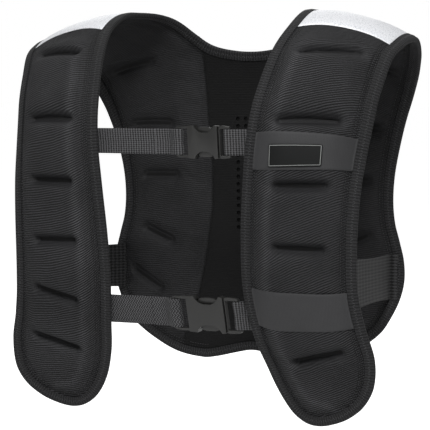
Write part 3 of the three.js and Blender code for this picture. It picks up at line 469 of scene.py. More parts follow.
EDGE_HALF = MARGIN_THICKNESS / 2
SLOT_HALF = EDGE_HALF + BINDING_SLOT_GAP
BINDING_HALF = SLOT_HALF + BINDING_TAPE


def front_top(along, across):
    return EDGE_HALF + FRONT_PUFF * front_fullness(along, across, [])


def back_top(along, across):
    return EDGE_HALF + BACK_PUFF * back_fullness(along, across, [])


def strip_under(along, across):
    back = np.where(along > SHOULDER_SEAM_ALONG, back_top(along, across), EDGE_HALF)
    return CLEARANCE + np.maximum(front_top(along, across), back)


def band_under(along, across):
    return BAND_LIFT + front_top(along, across)


# Soft ridges beside a slit. Columns: height, place above the slit's middle, reach
SLIT_RIDGES = [
    (1.1, SLIT_HALF + 5.0, 3.0),
    (0.8, -SLIT_HALF - 4.6, 2.4),
]


def slit_detail(slits, along, across, up, dent, reach, open_slits=()):
    """Height of the sewn island in each slit and of its walls, and the painted shade of each place in it."""
    height = np.zeros_like(along)
    # depth is painted shade: how much the colour darkens in the slit's crease, its sewn island and the
    # hollow above it
    depth = np.zeros_like(along)
    for number, (start, end) in enumerate(slits):
        length = np.linalg.norm(end - start)
        unit = (end - start) / length
        past = (along - start[0]) * unit[0] + (across - start[1]) * unit[1]
        above = up * ((along - start[0]) * unit[1] - (across - start[1]) * unit[0])
        away = distance_to((start, end), along, across)
        lens = 1 - SLIT_TAPER * np.clip(np.abs(past / length - 0.5) * 2, 0, 1) ** 2
        bank = np.where(above > 0, SLIT_BANK_ABOVE, SLIT_BANK_BELOW)
        wall = smooth_step((SLIT_HALF + bank) * lens, SLIT_HALF * 0.75 * lens, away)
        height -= SLIT_WALL * wall + dent * bell(away, reach)
        height += SLIT_ROLL * bell(away, SLIT_HALF * 0.42)
        for ridge, place, spread in SLIT_RIDGES:
            height += ridge * bell(above - place, spread) * smooth_step(*RIDGE_FADE, away - SLIT_HALF)
        crease = bell(above - SLIT_HALF * 0.5, 1.0) * smooth_step(SLIT_HALF + 2, SLIT_HALF, away)
        shade = OPEN_SHADE if number in open_slits else SEWN_SHADE
        island = shade * smooth_step(SLIT_HALF * 0.95 * lens, SLIT_HALF * 0.55 * lens, away)
        height -= CREASE_DEPTH * crease + ISLAND_DEPTH * island
        # Painted shade in the hollow on the side above the slit, where the upper wall shades the cloth
        hollow = HOLLOW_SHADE * bell(away, 0.75 * reach) * smooth_step(-SLIT_HALF, 0, above)
        depth = np.max([depth, 0.75 * crease, island, hollow], axis=0)
    return height, depth


def sewn_row(along, across):
    """How close a place is to the pair of stitched rows beside the binding."""
    edge_distance = distance_to(panel_edge[::2], along, across) + PANEL_INSET
    return np.max([bell(edge_distance - inset, 0.9) for inset in STITCH_ROWS], axis=0)


def seam_groove(along, across):
    """How close a place is to a seam of the back."""
    return bell(np.abs(np.abs(across) - seam_across(along)), SEAM_REACH)


def packed_levels(low, high, count, slits):
    """Places from low to high, closer together at the slits."""
    fine = np.linspace(low, high, 4000)
    density = np.ones_like(fine)
    for start, end in slits:
        reach = 7 + abs(end[0] - start[0]) / 2
        density += 1.6 * bell(fine - (start[0] + end[0]) / 2, reach)
    total = np.concatenate([[0.0], np.cumsum((density[1:] + density[:-1]) / 2)])
    return np.interp(np.linspace(0, total[-1], count), total, fine)


# Meshes

def mesh_object(name, vertices, faces, uv=None, values=None, smooth_angle=40.0):
    """A new object at the origin. uv holds a pair and values a number for each vertex."""
    mesh = bpy.data.meshes.new(name)
    mesh.from_pydata(np.asarray(vertices).tolist(), [], [tuple(face) for face in faces])
    if uv is not None:
        corner = np.zeros(len(mesh.loops), int)
        mesh.loops.foreach_get("vertex_index", corner)
        mesh.uv_layers.new(name="UVMap")
        mesh.uv_layers["UVMap"].data.foreach_set("uv", np.asarray(uv, float)[corner].ravel())
    for key, numbers in (values or {}).items():
        attribute = mesh.attributes.new(key, "FLOAT", "POINT")
        attribute.data.foreach_set("value", np.asarray(numbers, float).ravel())
    smooth(mesh, smooth_angle)
    return add_object(name, mesh)


def add_object(name, data):
    made = bpy.data.objects.new(name, data)
    bpy.context.scene.collection.objects.link(made)
    return made


def smooth(mesh, angle):
    mesh.update()
    mesh.shade_smooth()
    mesh.set_sharp_from_angle(angle=math.radians(angle))


def grid_solid_faces(rows, columns):
    """Faces of a closed solid between two grids, and its rim."""
    layer = rows * columns
    r, c = np.meshgrid(np.arange(rows - 1), np.arange(columns - 1), indexing="ij")
    a = (r * columns + c).ravel()
    b = a + columns
    top = np.stack([a, a + 1, b + 1, b], axis=1)
    bottom = np.stack([a, b, b + 1, a + 1], axis=1) + layer
    rim = [
        *range(columns - 1),
        *(r * columns + columns - 1 for r in range(rows - 1)),
        *((rows - 1) * columns + c for c in range(columns - 1, 0, -1)),
        *(r * columns for r in range(rows - 1, 0, -1)),
    ]
    start = np.array(rim)
    end = np.roll(start, -1)
    sides = np.stack([start, start + layer, end + layer, end], axis=1)
    return np.concatenate([top, bottom, sides])


def grid_solid(name, along, across, top, bottom, uv=None, values=None, mirror=False, angle=40.0):
    """A closed piece of cloth over a grid of places, between two heights."""
    vertices = np.concatenate([
        cloth_point(along, across, top).reshape(-1, 3),
        cloth_point(along, across, bottom).reshape(-1, 3),
    ])
    faces = grid_solid_faces(*along.shape)
    if mirror:
        vertices = vertices * (-1, 1, 1)
        faces = faces[:, ::-1]
    if uv is None:
        uv = np.stack([across, along], axis=-1) * MM
    uv = np.tile(uv.reshape(-1, 2), (2, 1))
    values = {key: np.concatenate([np.ravel(face) for face in pair]) for key, pair in (values or {}).items()}
    return mesh_object(name, vertices, faces, uv, values, angle)


def dress(piece, finish, slot, *nodes):
    """Gives a piece its material and says which solids it stands for."""
    piece.data.materials.clear()
    piece.data.materials.append(finish)
    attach(piece, BODY)
    if nodes:
        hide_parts(*nodes)


def plain_mesh(piece):
    """Turns the evaluated modifiers of a piece into its mesh and removes them."""
    depsgraph = bpy.context.evaluated_depsgraph_get()
    mesh = bpy.data.meshes.new_from_object(piece.evaluated_get(depsgraph))
    piece.modifiers.clear()
    old = piece.data
    piece.data = mesh
    mesh.name = piece.name
    bpy.data.meshes.remove(old)


def margin_shares(count, width, margin=14.0, share=0.3):
    """Even places from 0 to 1, closer together in the margins."""
    edge = max(2, int(count * share / 2))
    low = np.linspace(0, min(margin / width, 0.3), edge, endpoint=False)
    middle = np.linspace(low[-1] * edge / max(edge - 1, 1), 0.5, count // 2 - edge + 1)
    half = np.concatenate([low, middle])
    return np.concatenate([half, 1 - half[:-1][::-1]])


# Node trees

class NodeMaker:
    """Adds nodes to one tree and links them."""

    def __init__(self, tree):
        self.tree = tree

    def add(self, kind, inputs=None, **settings):
        node = self.tree.nodes.new(kind)
        for key, value in settings.items():
            setattr(node, key, value)
        for key, value in (inputs or {}).items():
            self.put(node.inputs[key], value)
        return node

    def out(self, kind, inputs=None, **settings):
        """Adds a node and gives its first output."""
        return self.add(kind, inputs, **settings).outputs[0]

    def put(self, socket, value):
        if isinstance(value, bpy.types.NodeSocket):
            self.tree.links.new(value, socket)
        else:
            socket.default_value = value

    def math(self, operation, first, second=0.0):
        return self.out("ShaderNodeMath", {0: first, 1: second}, operation=operation)

    def plus(self, first, second):
        return self.math("ADD", first, second)

    def minus(self, first, second):
        return self.math("SUBTRACT", first, second)

    def times(self, first, second):
        return self.math("MULTIPLY", first, second)

    def wave(self, turns):
        """Sine of a number of whole turns."""
        return self.math("SINE", self.times(turns, 2 * math.pi))

    def stretch(self, shade, contrast):
        """Moves a shade away from the middle between dark and light, or towards it."""
        return self.plus(self.times(self.minus(shade, 0.5), contrast), 0.5)

    def noise(self, place, scale, detail):
        return self.out("ShaderNodeTexNoise", {"Vector": place, "Scale": scale, "Detail": detail})

    def blend(self, factor, first, second):
        node = self.add("ShaderNodeMix", data_type="RGBA")
        self.put(node.inputs[0], factor)
        self.put(node.inputs[6], first)
        self.put(node.inputs[7], second)
        return node.outputs[2]


def shader_group(name, inputs, outputs):
    """A new shader node group with its sockets. An input without a default is a vector."""
    tree = bpy.data.node_groups.new(name, "ShaderNodeTree")
    for label, default in inputs.items():
        kind = "NodeSocketVector" if default is None else "NodeSocketFloat"
        socket = tree.interface.new_socket(name=label, in_out="INPUT", socket_type=kind)
        if default is not None:
            socket.default_value = default
    for label in outputs:
        tree.interface.new_socket(name=label, in_out="OUTPUT", socket_type="NodeSocketFloat")
    maker = NodeMaker(tree)
    return maker, maker.add("NodeGroupInput").outputs, maker.add("NodeGroupOutput").inputs


def knit_rows_group():
    """Wavy rows of knitted loops on a UV map in metres."""
    maker, given, result = shader_group(
        "knit_rows",
        {"Vector": None, "Row Pitch": 0.003, "Loop Pitch": 0.0014, "Tilt": 0.25, "Waver": 0.002},
        ["Height", "Shade"],
    )
    place = maker.add("ShaderNodeSeparateXYZ", {0: given["Vector"]}).outputs
    sway = maker.times(maker.minus(maker.noise(given["Vector"], 38.0, 3.0), 0.5), given["Waver"])
    slanted = maker.times(place[0], given["Tilt"])
    turns = maker.math("DIVIDE", maker.minus(maker.plus(place[1], sway), slanted), given["Row Pitch"])
    rows = maker.wave(turns)
    shifted = maker.plus(maker.math("DIVIDE", place[0], given["Loop Pitch"]), maker.times(rows, 0.12))
    loops = maker.wave(maker.plus(shifted, maker.times(maker.math("FLOOR", turns), 0.5)))
    height = maker.plus(maker.plus(maker.times(rows, 0.34), maker.times(loops, 0.16)), 0.5)
    strength = maker.plus(maker.times(maker.noise(given["Vector"], 120.0, 4.0), 1.5), -0.1)
    maker.put(result["Height"], height)
    maker.put(result["Shade"], maker.stretch(height, strength))


def ribs_group():
    """Cross ribs and lengthwise threads of woven webbing or elastic, on a UV map in metres."""
    maker, given, result = shader_group(
        "woven_ribs",
        {"Vector": None, "Rib Pitch": 0.0016, "Thread Pitch": 0.0012, "Zigzag": 0.0, "Thread Share": 0.4},
        ["Height", "Shade"],
    )
    place = maker.add("ShaderNodeSeparateXYZ", {0: given["Vector"]}).outputs
    bent = maker.plus(place[0], maker.times(maker.math("PINGPONG", place[1], 0.0025), given["Zigzag"]))
    ribs = maker.wave(maker.math("DIVIDE", bent, given["Rib Pitch"]))
    threads = maker.wave(maker.math("DIVIDE", place[1], given["Thread Pitch"]))
    rib_share = maker.minus(1.0, given["Thread Share"])
    rib_part = maker.times(ribs, maker.times(rib_share, 0.5))
    thread_part = maker.times(threads, maker.times(given["Thread Share"], 0.5))
    height = maker.plus(maker.plus(rib_part, thread_part), 0.5)
    fuzz = maker.noise(given["Vector"], 400.0, 3.0)
    maker.put(result["Height"], height)
    maker.put(result["Shade"], maker.plus(maker.times(height, 0.75), maker.times(fuzz, 0.25)))


def wear_group():
    """Lint and uneven dye: two noises on object coordinates."""
    maker, given, result = shader_group(
        "lint_and_dye", {"Fine": 900.0, "Broad": 22.0, "Amount": 0.3}, ["Shade", "Grain"])
    place = maker.add("ShaderNodeTexCoord").outputs["Object"]
    fine = maker.noise(place, given["Fine"], 4.0)
    broad = maker.noise(place, given["Broad"], 3.0)
    uneven = maker.times(maker.minus(maker.plus(fine, broad), 1.0), given["Amount"])
    maker.put(result["Shade"], maker.plus(uneven, 1.0))
    maker.put(result["Grain"], fine)


# Materials

# Knitted finishes. Columns: name, colour and its share, row pitch, tilt, contrast, bump depth, waver
KNITTED = [
    ("front_knit", "fabric", 1.0, 0.0025, 0.0, 3.0, 0.0009, 0.004),
    ("back_knit", "fabric", 0.88, 0.0022, 0.1, 1.6, 0.0005, 0.004),
    ("centre_knit", "fabric", 0.32, 0.0019, 0.0, 1.0, 0.0003, 0.0006),
]

# Woven finishes. Columns: name, colour and its share, rib pitch, thread pitch, zigzag, share of the
# threads, contrast, bump depth, roughness
WOVEN = [
    ("binding_tape", "binding", 1.0, 0.0031, 0.0016, 0.0, 0.25, 1.7, 0.0005, 0.75),
    ("elastic", "elastic", 1.0, 0.0013, 0.0009, 0.0, 0.5, 0.22, 0.0001, 0.66),
    ("webbing", "webbing", 1.0, 0.0028, 0.0021, 0.0, 0.42, 2.4, 0.0005, 0.75),
    ("herringbone", "webbing", 1.0, 0.0028, 0.0016, 1.0, 0.15, 2.4, 0.0005, 0.75),
    # Painted shade: the side straps use the webbing colour darkened to 0.6, as they lie in shade at the
    # sides
    ("side_webbing", "webbing", 0.6, 0.0085, 0.0034, 0.0, 0.5, 5.0, 0.0009, 0.75),
    ("seam_thread", "seam_thread", 1.0, 0.0008, 0.0008, 0.0, 0.2, 0.8, 0.00008, 0.75),
    ("thread", "thread", 1.0, 0.0008, 0.0008, 0.0, 0.2, 0.8, 0.00008, 0.75),
]

# Moulded finishes. Columns: name, colour and its share, roughness, grain, bump depth, specular
MOULDED = [
    ("plastic", "plastic", 1.0, 0.4, 1700.0, 0.00003, 0.5),
    ("rubber", "rubber", 1.0, 0.6, 1500.0, 0.00003, 0.15),
    ("rubber_frame", "rubber_frame", 1.0, 0.6, 1500.0, 0.00003, 0.15),
]


def linear(colour, factor=1.0):
    """An sRGB colour with channels of 0 to 255 as a linear one."""
    channels = []
    for channel in colour:
        share = min(channel * factor, 255) / 255
        channels.append(share / 12.92 if share <= 0.04045 else ((share + 0.055) / 1.055) ** 2.4)
    return (*channels, 1.0)


class Finish:
    """One material: its Principled shader, its groups and the chain from shades to colour."""

    def __init__(self, name, roughness, specular=0.3, sheen=0.0):
        self.material = bpy.data.materials.new(name)
        self.material.use_nodes = True
        tree = self.material.node_tree
        self.maker = NodeMaker(tree)
        self.shader = tree.nodes["Principled BSDF"]
        self.shader.inputs["Roughness"].default_value = roughness
        self.shader.inputs["Specular IOR Level"].default_value = specular
        if sheen:
            self.shader.inputs["Sheen Weight"].default_value = sheen
            self.shader.inputs["Sheen Roughness"].default_value = 0.45

    def group(self, name, **inputs):
        node = self.maker.add("ShaderNodeGroup", node_tree=bpy.data.node_groups[name])
        for key, value in inputs.items():
            self.maker.put(node.inputs[key.replace("_", " ")], value)
        return node.outputs

    def uv(self):
        return self.maker.out("ShaderNodeUVMap", uv_map="UVMap")

    def value(self, name):
        return self.maker.add("ShaderNodeAttribute", attribute_name=name).outputs["Fac"]

    def colour(self, factor, dark, light, *shades):
        mixed = self.maker.blend(factor, dark, light)
        for shade in shades:
            scaled = self.maker.add("ShaderNodeVectorMath", {0: mixed}, operation="SCALE")
            self.maker.put(scaled.inputs["Scale"], shade)
            mixed = scaled.outputs[0]
        self.maker.put(self.shader.inputs["Base Color"], mixed)

    def bump(self, height, distance):
        normal = self.maker.out("ShaderNodeBump", {"Height": height, "Strength": 1.0, "Distance": distance})
        self.maker.put(self.shader.inputs["Normal"], normal)


def knit_finish(name, colour, row_pitch, tilt, contrast, depth, waver):
    """Knitted face of the padded panels. It shows least where a slit draws the cloth in."""
    finish = Finish(name, roughness=0.7, specular=0.22)
    maker = finish.maker
    knit = finish.group("knit_rows", Vector=finish.uv(), Row_Pitch=row_pitch, Loop_Pitch=row_pitch * 0.5,
                        Tilt=tilt, Waver=waver)
    wear = finish.group("lint_and_dye", Fine=650.0, Broad=18.0, Amount=1.1)
    clear = maker.minus(1.0, maker.times(finish.value("drawn"), 0.88))
    factor = maker.stretch(knit["Shade"], maker.times(clear, contrast))
    # The slit attribute paints shade into the slits, stitched rows, seams and holes, and where it is below
    # zero a painted highlight along the fronts' crest
    shadow = maker.minus(1.0, maker.times(finish.value("slit"), 0.85))
    finish.colour(factor, linear(colour, 0.25), linear(colour, 1.85), wear["Shade"], shadow)
    finish.bump(maker.plus(maker.times(knit["Height"], clear), maker.times(wear["Grain"], 0.35)), depth)
    return finish.material


def woven_finish(name, colour, rib, thread, zigzag, share, contrast, depth, roughness):
    """Webbing, elastic and tape."""
    finish = Finish(name, roughness, sheen=0.03)
    ribs = finish.group("woven_ribs", Vector=finish.uv(), Rib_Pitch=rib, Thread_Pitch=thread,
                        Zigzag=zigzag, Thread_Share=share)
    wear = finish.group("lint_and_dye", Fine=1100.0, Broad=30.0, Amount=0.35)
    factor = finish.maker.stretch(ribs["Shade"], contrast)
    finish.colour(factor, linear(colour, 0.35), linear(colour, 1.6), wear["Shade"])
    finish.bump(ribs["Height"], depth)
    return finish.material


def moulded_finish(name, colour, roughness, grain, depth, specular):
    """Moulded plastic or rubber with a spark-eroded grain."""
    finish = Finish(name, roughness, specular)
    maker = finish.maker
    wear = finish.group("lint_and_dye", Fine=grain, Broad=45.0, Amount=0.22)
    finish.colour(wear["Grain"], linear(colour, 0.9), linear(colour, 1.12), wear["Shade"])
    rough = maker.plus(maker.times(wear["Grain"], 0.18), roughness - 0.09)
    maker.put(finish.shader.inputs["Roughness"], rough)
    finish.bump(wear["Grain"], depth)
    return finish.material


def reflective_finish(name):
    """Silver tape faced with fine glass beads in a faint honeycomb."""
    finish = Finish(name, roughness=0.42, specular=0.5)
    maker = finish.maker
    finish.shader.inputs["Metallic"].default_value = 0.25
    cells = maker.out("ShaderNodeTexVoronoi", {"Vector": finish.uv(), "Scale": 420.0},
                      feature="DISTANCE_TO_EDGE")
    lines = maker.math("LESS_THAN", cells, 0.06)
    wear = finish.group("lint_and_dye", Fine=600.0, Broad=26.0, Amount=0.05)
    finish.colour(lines, linear((236, 237, 240)), linear((206, 208, 212)), wear["Shade"])
    finish.bump(wear["Grain"], 0.00006)
    return finish.material


def build_finishes(colours):
    knit_rows_group()
    ribs_group()
    wear_group()
    made = {"strip": reflective_finish("strip")}
    for table, make in ((KNITTED, knit_finish), (WOVEN, woven_finish), (MOULDED, moulded_finish)):
        for name, key, share, *sizes in table:
            colour = [share * channel for channel in getattr(colours, key)]
            made[name] = make(name, colour, *sizes)
    return made


finishes = {}


# Settings that a user would change

def length_setting(name, description, default):
    return bpy.props.FloatProperty(name=name, description=description, default=default, unit="LENGTH")


def colour_setting(name, description, default):
    return bpy.props.FloatVectorProperty(
        name=name, description=f"{description}, 0 to 255", size=3, default=default)


class VestSizes(bpy.types.PropertyGroup):
    stitch_pitch: length_setting("Stitch Pitch", "Distance between stitches", 0.0031)
    stitch_length: length_setting("Stitch Length", "Length of one stitch", 0.0022)
    stitch_radius: length_setting("Thread Radius", "Half of the thread's thickness", 0.00034)
    hole_radius: length_setting("Hole Radius", "Half of a perforation's width", 0.0023)
    edge_radius: length_setting("Edge Radius", "Rounding of the buckles' moulded edges", 0.0007)


class VestColours(bpy.types.PropertyGroup):
    fabric: colour_setting("Fabric", "Knitted fabric", (31, 31, 32))
    binding: colour_setting("Binding", "Tape round the edge", (23, 23, 24))
    elastic: colour_setting("Elastic", "Bands over the left front", (43, 43, 44))
    webbing: colour_setting("Webbing", "Chest and side straps", (52, 52, 53))
    thread: colour_setting("Thread", "Sewing thread", (54, 54, 55))
    seam_thread: colour_setting("Seam Thread", "Thread of the back seams", (16, 16, 17))
    plastic: colour_setting("Plastic", "Buckles", (34, 34, 33))
    rubber: colour_setting("Rubber", "Plate of the label", (20, 21, 21))
    rubber_frame: colour_setting("Rubber Frame", "Raised frame of the label", (122, 124, 122))


# Front panels and back pads

# Knit rows across a front panel. Columns: start, pull at the inner edge, its reach, slope beyond
LEFT_ROWS = (12.0, -12.0, 15.0, 0.42)
RIGHT_ROWS = (0.0, 26.0, 22.0, -0.05)


def fan(across, mirror):
    """How far the knit rows are pulled up across a front panel. The cloth is cut the same way on both."""
    start, pull, reach, slope = RIGHT_ROWS if mirror else LEFT_ROWS
    inside = np.maximum(across - RAIL_INNER_X, -20.0)
    return start + pull * np.exp(-inside / reach) + slope * inside


def slanted_grid(level, slits, shares, sides):
    """Rows of places from side to side that lie along the slits where they pass them."""
    middles = np.array([(start + end) / 2 for start, end in slits])
    slopes = np.array([(end[0] - start[0]) / (end[1] - start[1]) for start, end in slits])
    ends = np.array([[level[0], 0.0], [level[-1], 0.0]])
    knots = np.concatenate([ends[:1], np.stack([middles[:, 0], slopes], axis=1), ends[1:]])
    pivots = np.interp(level, middles[:, 0], middles[:, 1])
    slope = np.interp(level, knots[:, 0], knots[:, 1])
    start = sides(level)[0]
    end = sides(level)[1]
    for _ in range(8):
        start = sides(level + slope * (start - pivots))[0]
        end = sides(level + slope * (end - pivots))[1]
    across = start[:, None] + (end - start)[:, None] * shares[None, :]
    along = level[:, None] + slope[:, None] * (across - pivots[:, None])
    return along, across


def row_place(along, across, mirror, slits):
    """Place across the knit rows, which bend round each slit."""
    place = along - fan(across, mirror)
    for start, end in slits:
        middle = (start + end) / 2
        slope = (end[0] - start[0]) / (end[1] - start[1])
        beside = middle[0] - fan(middle[1], mirror) + (along - middle[0] - slope * (across - middle[1]))
        near = BEND_SHARE * bell(distance_to((start, end), along, across), BEND_REACH)
        place = place * (1 - near) + beside * near
    return place


def near_slits(along, across, slits):
    """One on a slit and none well away from it. The knit shows least where the cloth is drawn in."""
    away = np.min([distance_to(ends, along, across) for ends in slits], axis=0)
    return np.exp(-((away / DRAWN_REACH) ** 4))


def front_sides(level):
    return across_at(panel_inner, level), across_at(panel_outer, level)


def front_grid():
    rows, columns = FRONT_GRID
    level = packed_levels(front_limit + 0.4, SHOULDER_SEAM_ALONG, rows, front_slits)
    return slanted_grid(level, front_slits, margin_shares(columns, 110.0), front_sides)


def back_sides(level):
    seam_side = np.where(level > seam_line[0, 0], seam_across(level) - SEAM_LAP / 2, 0)
    neck_side = np.where(level < panel_inner[-1, 0], across_at(panel_inner, level), 0)
    return np.maximum(seam_side, neck_side), across_at(panel_outer, level)


def back_grid():
    rows, columns = BACK_GRID
    level = packed_levels(SHOULDER_SEAM_ALONG, hem_corner() - 0.5, rows, back_slits)
    return slanted_grid(level, back_slits, margin_shares(columns, 90.0), back_sides)


def hem_at(across):
    """Place along of the hem at a distance from the middle."""
    start = int(np.argmax(panel_edge[:, 1] * (panel_edge[:, 0] > VEST_HEIGHT * 0.8)))
    line = panel_edge[start:][::-1]
    return np.interp(across, line[:, 1], line[:, 0])


def hem_corner():
    along = VEST_HEIGHT
    for _ in range(20):
        along = hem_at(seam_across(along))
    return float(along)


def wrinkle(along, across, seed):
    """Soft unevenness of a stuffed panel, from a few crossed waves."""
    random = np.random.default_rng(seed)
    total = np.zeros_like(along)
    for _ in range(10):
        length = random.uniform(14, 55)
        turn = random.uniform(0, math.pi)
        phase = random.uniform(0, 2 * math.pi)
        place = along * math.cos(turn) + across * math.sin(turn)
        total += np.sin(2 * math.pi * place / length + phase) * length / 55
    return total / 10


def settle(along, across, height, held, outward):
    """How far the skin of a padded piece moves between its seams in a short cloth simulation."""
    rows = np.append(np.arange(0, along.shape[0] - 1, SKIN_STEP), along.shape[0] - 1)
    columns = np.append(np.arange(0, along.shape[1] - 1, SKIN_STEP), along.shape[1] - 1)
    pick = np.ix_(rows, columns)
    start = cloth_point(along[pick], across[pick], height[pick])
    faces = grid_solid_faces(*start.shape[:2])[:(len(rows) - 1) * (len(columns) - 1)]
    skin = mesh_object("settling_skin", start.reshape(-1, 3), faces[:, ::1 if outward > 0 else -1])
    group = skin.vertex_groups.new(name="held")
    for index, weight in enumerate(held[pick].ravel()):
        group.add([index], float(weight), "REPLACE")
    cloth = skin.modifiers.new("settling", "CLOTH")
    for key, value in SKIN_RULES.items():
        setattr(cloth.settings, key, value)
    cloth.settings.effector_weights.gravity = 0
    cloth.point_cache.frame_end = SKIN_FRAMES
    scene = bpy.context.scene
    for frame in range(1, SKIN_FRAMES + 1):
        scene.frame_set(frame)
    settled = skin.evaluated_get(bpy.context.evaluated_depsgraph_get()).data
    end = np.zeros(start.size)
    settled.vertices.foreach_get("co", end)
    mesh = skin.data
    bpy.data.objects.remove(skin)
    bpy.data.meshes.remove(mesh)
    scene.frame_set(1)
    moved = (end.reshape(start.shape) - start) * surface_normal(along[pick], across[pick])
    moved = np.clip(moved.sum(axis=-1) / MM, -SKIN_TRAVEL, SKIN_TRAVEL)
    every_column = np.arange(along.shape[1])
    widened = np.array([np.interp(every_column, columns, line) for line in moved])
    every_row = np.arange(along.shape[0])
    return np.array([np.interp(every_row, rows, line) for line in widened.T]).T


def padded_pair(name, finish, along, across, top, bottom, values, uv_of=None):
    """The cloth of a padded section on the wearer's left and its mirror image on the right."""
    for side, mirror in SIDES:
        node = f"{name}_{side}"
        uv = uv_of(mirror) if uv_of else None
        piece = grid_solid(f"{node}_cloth", along, across, top, bottom, uv, values, mirror)
        dress(piece, finishes[finish], "panel_fabric", node)


def make_front_panels():
    along, across = front_grid()
    unslit = front_fullness(along, across, [])
    full = front_fullness(along, across, front_slits)
    groove, slit = slit_detail(front_slits, along, across, up=1.0, dent=2.0, reach=8.0, open_slits=(4, 5))
    uneven = wrinkle(along, across, seed=3) * 1.3 * full
    row = sewn_row(along, across) * smooth_step(STRIP_FRONT_ALONG + 4, STRIP_FRONT_ALONG - 4, along)
    top = EDGE_HALF + FRONT_PUFF * full + groove * smooth_step(*GROOVE_FULLNESS, unslit) + uneven
    top = top - FRONT_ROW_DEPTH * row
    held = np.clip(smooth_step(*FLAT_FULLNESS, unslit) + row + slit, 0, 1)
    top = np.maximum(top + settle(along, across, top, held, outward=1), LEAST_TOP)
    bottom = -EDGE_HALF - INNER_PUFF * full - uneven * 0.5
    # The crest is raised, and in the slit attribute it is lightened with a painted highlight
    crest = bell(distance_to(panel_inner, along, across) - CREST_INSET, CREST_REACH)
    crest = CREST_HEIGHT * crest * smooth_step(STRIP_FRONT_ALONG, CREST_FULL_ALONG, along)
    drawn = near_slits(along, across, front_slits)
    # Painted shade on the outer face in the slits and the stitched rows, less the painted highlight on the
    # crest; none on the inner face
    values = {
        "slit": (np.maximum(slit, 0.8 * row) - crest * (1 - slit), slit * 0.0),
        "drawn": (drawn, drawn),
    }

    def knit_uv(mirror):
        return np.stack([across, row_place(along, across, mirror, front_slits)], axis=-1) * MM

    padded_pair("front_panel", "front_knit", along, across, top + crest, bottom, values, knit_uv)


def make_back_pads():
    along, across = back_grid()
    outer_full = back_fullness(along, across, [])
    inner_full = back_fullness(along, across, back_slits)
    groove, slit = slit_detail(back_slits, along, across, up=-1.0, dent=3.4, reach=11.0)
    uneven = wrinkle(along, across, seed=8) * 0.8 * outer_full
    seam = seam_groove(along, across) * (along > seam_line[0, 0])
    sewn = np.maximum(sewn_row(along, across), seam)
    top = EDGE_HALF + BACK_PUFF * outer_full + uneven - BACK_ROW_DEPTH * sewn
    bottom = -EDGE_HALF - BACK_INNER_PUFF * inner_full - uneven + BACK_ROW_DEPTH * sewn
    bottom = bottom - groove * smooth_step(*GROOVE_FULLNESS, outer_full)
    held = np.clip(smooth_step(*FLAT_FULLNESS, outer_full) + sewn + slit, 0, 1)
    bottom = np.minimum(bottom + settle(along, across, bottom, held, outward=-1), MOST_BOTTOM)
    drawn = near_slits(along, across, back_slits)
    # Painted shade along the stitched rows and seams on both faces, and in the slits on the inner face
    values = {"slit": (0.9 * sewn, np.maximum(slit, 0.9 * sewn)), "drawn": (drawn * 0.0, drawn)}
    padded_pair("back_pad", "back_knit", along, across, top, bottom, values)


def neck_at(across):
    start = int(np.argmin(np.abs(panel_inner[:, 0] - seam_line[0, 0] + 25)))
    line = panel_inner[start:][::-1]
    return np.interp(across, line[:, 1], line[:, 0])


def geometry_group(name, start, settings, end):
    """A new geometry node group with a geometry in, its settings, a material and a geometry out."""
    tree = bpy.data.node_groups.new(name, "GeometryNodeTree")
    inputs = {start: "Geometry", **settings, "Material": "Material"}
    for label, kind in inputs.items():
        tree.interface.new_socket(name=label, in_out="INPUT", socket_type=f"NodeSocket{kind}")
    tree.interface.new_socket(name=end, in_out="OUTPUT", socket_type="NodeSocketGeometry")
    maker = NodeMaker(tree)
    return maker, maker.add("NodeGroupInput").outputs, maker.add("NodeGroupOutput").inputs[0]


def close_group(maker, given, result, geometry):
    """Makes the copies real, gives them the material and hands them out."""
    real = maker.out("GeometryNodeRealizeInstances", {0: geometry})
    painted = maker.out("GeometryNodeSetMaterial", {"Geometry": real, "Material": given["Material"]})
    maker.put(result, painted)
    return maker.tree


def punch_tree():
    """Geometry nodes that sink a grid of round holes into the front of cloth."""
    settings = {"Radius": "Float", "Depth": "Float", "Columns": "Int", "Rows": "Int", "Width": "Float",
                "Height": "Float", "Middle": "Vector"}
    maker, given, result = geometry_group("punch_holes", "Cloth", settings, "Cloth")
    upright = (math.pi / 2, 0, 0)
    grid = maker.out("GeometryNodeMeshGrid", {
        "Size X": given["Width"],
        "Size Y": given["Height"],
        "Vertices X": given["Columns"],
        "Vertices Y": given["Rows"],
    })
    turns = {"Translation": given["Middle"], "Rotation": upright}
    places = maker.out("GeometryNodeTransform", {"Geometry": grid, **turns})
    hit = maker.add("GeometryNodeRaycast", {
        "Target Geometry": given["Cloth"],
        "Ray Direction": (0.0, 1.0, 0.0),
        "Ray Length": 1.0,
    })
    landing = hit.outputs["Hit Position"]
    on_cloth = maker.out("GeometryNodeSetPosition", {"Geometry": places, "Position": landing})
    sizes = {"Vertices": 14, "Radius": given["Radius"], "Depth": given["Depth"]}
    pin = maker.out("GeometryNodeMeshCylinder", sizes)
    turned = maker.out("GeometryNodeTransform", {"Geometry": pin, "Rotation": upright})
    pins = maker.out("GeometryNodeInstanceOnPoints", {"Points": on_cloth, "Instance": turned})
    real = maker.out("GeometryNodeRealizeInstances", {0: pins})
    cut = maker.out("GeometryNodeMeshBoolean", {0: given["Cloth"], 1: real},
                    operation="DIFFERENCE", solver="EXACT")
    return close_group(maker, given, result, cut)


def run_tree(piece, tree, **values):
    """Runs a node tree on a piece and keeps the result as its plain mesh."""
    modifier = piece.modifiers.new(tree.name, "NODES")
    modifier.node_group = tree
    for item in tree.interface.items_tree:
        key = item.name.replace(" ", "_").lower()
        if item.in_out == "INPUT" and key in values:
            modifier[item.identifier] = values[key]
    plain_mesh(piece)


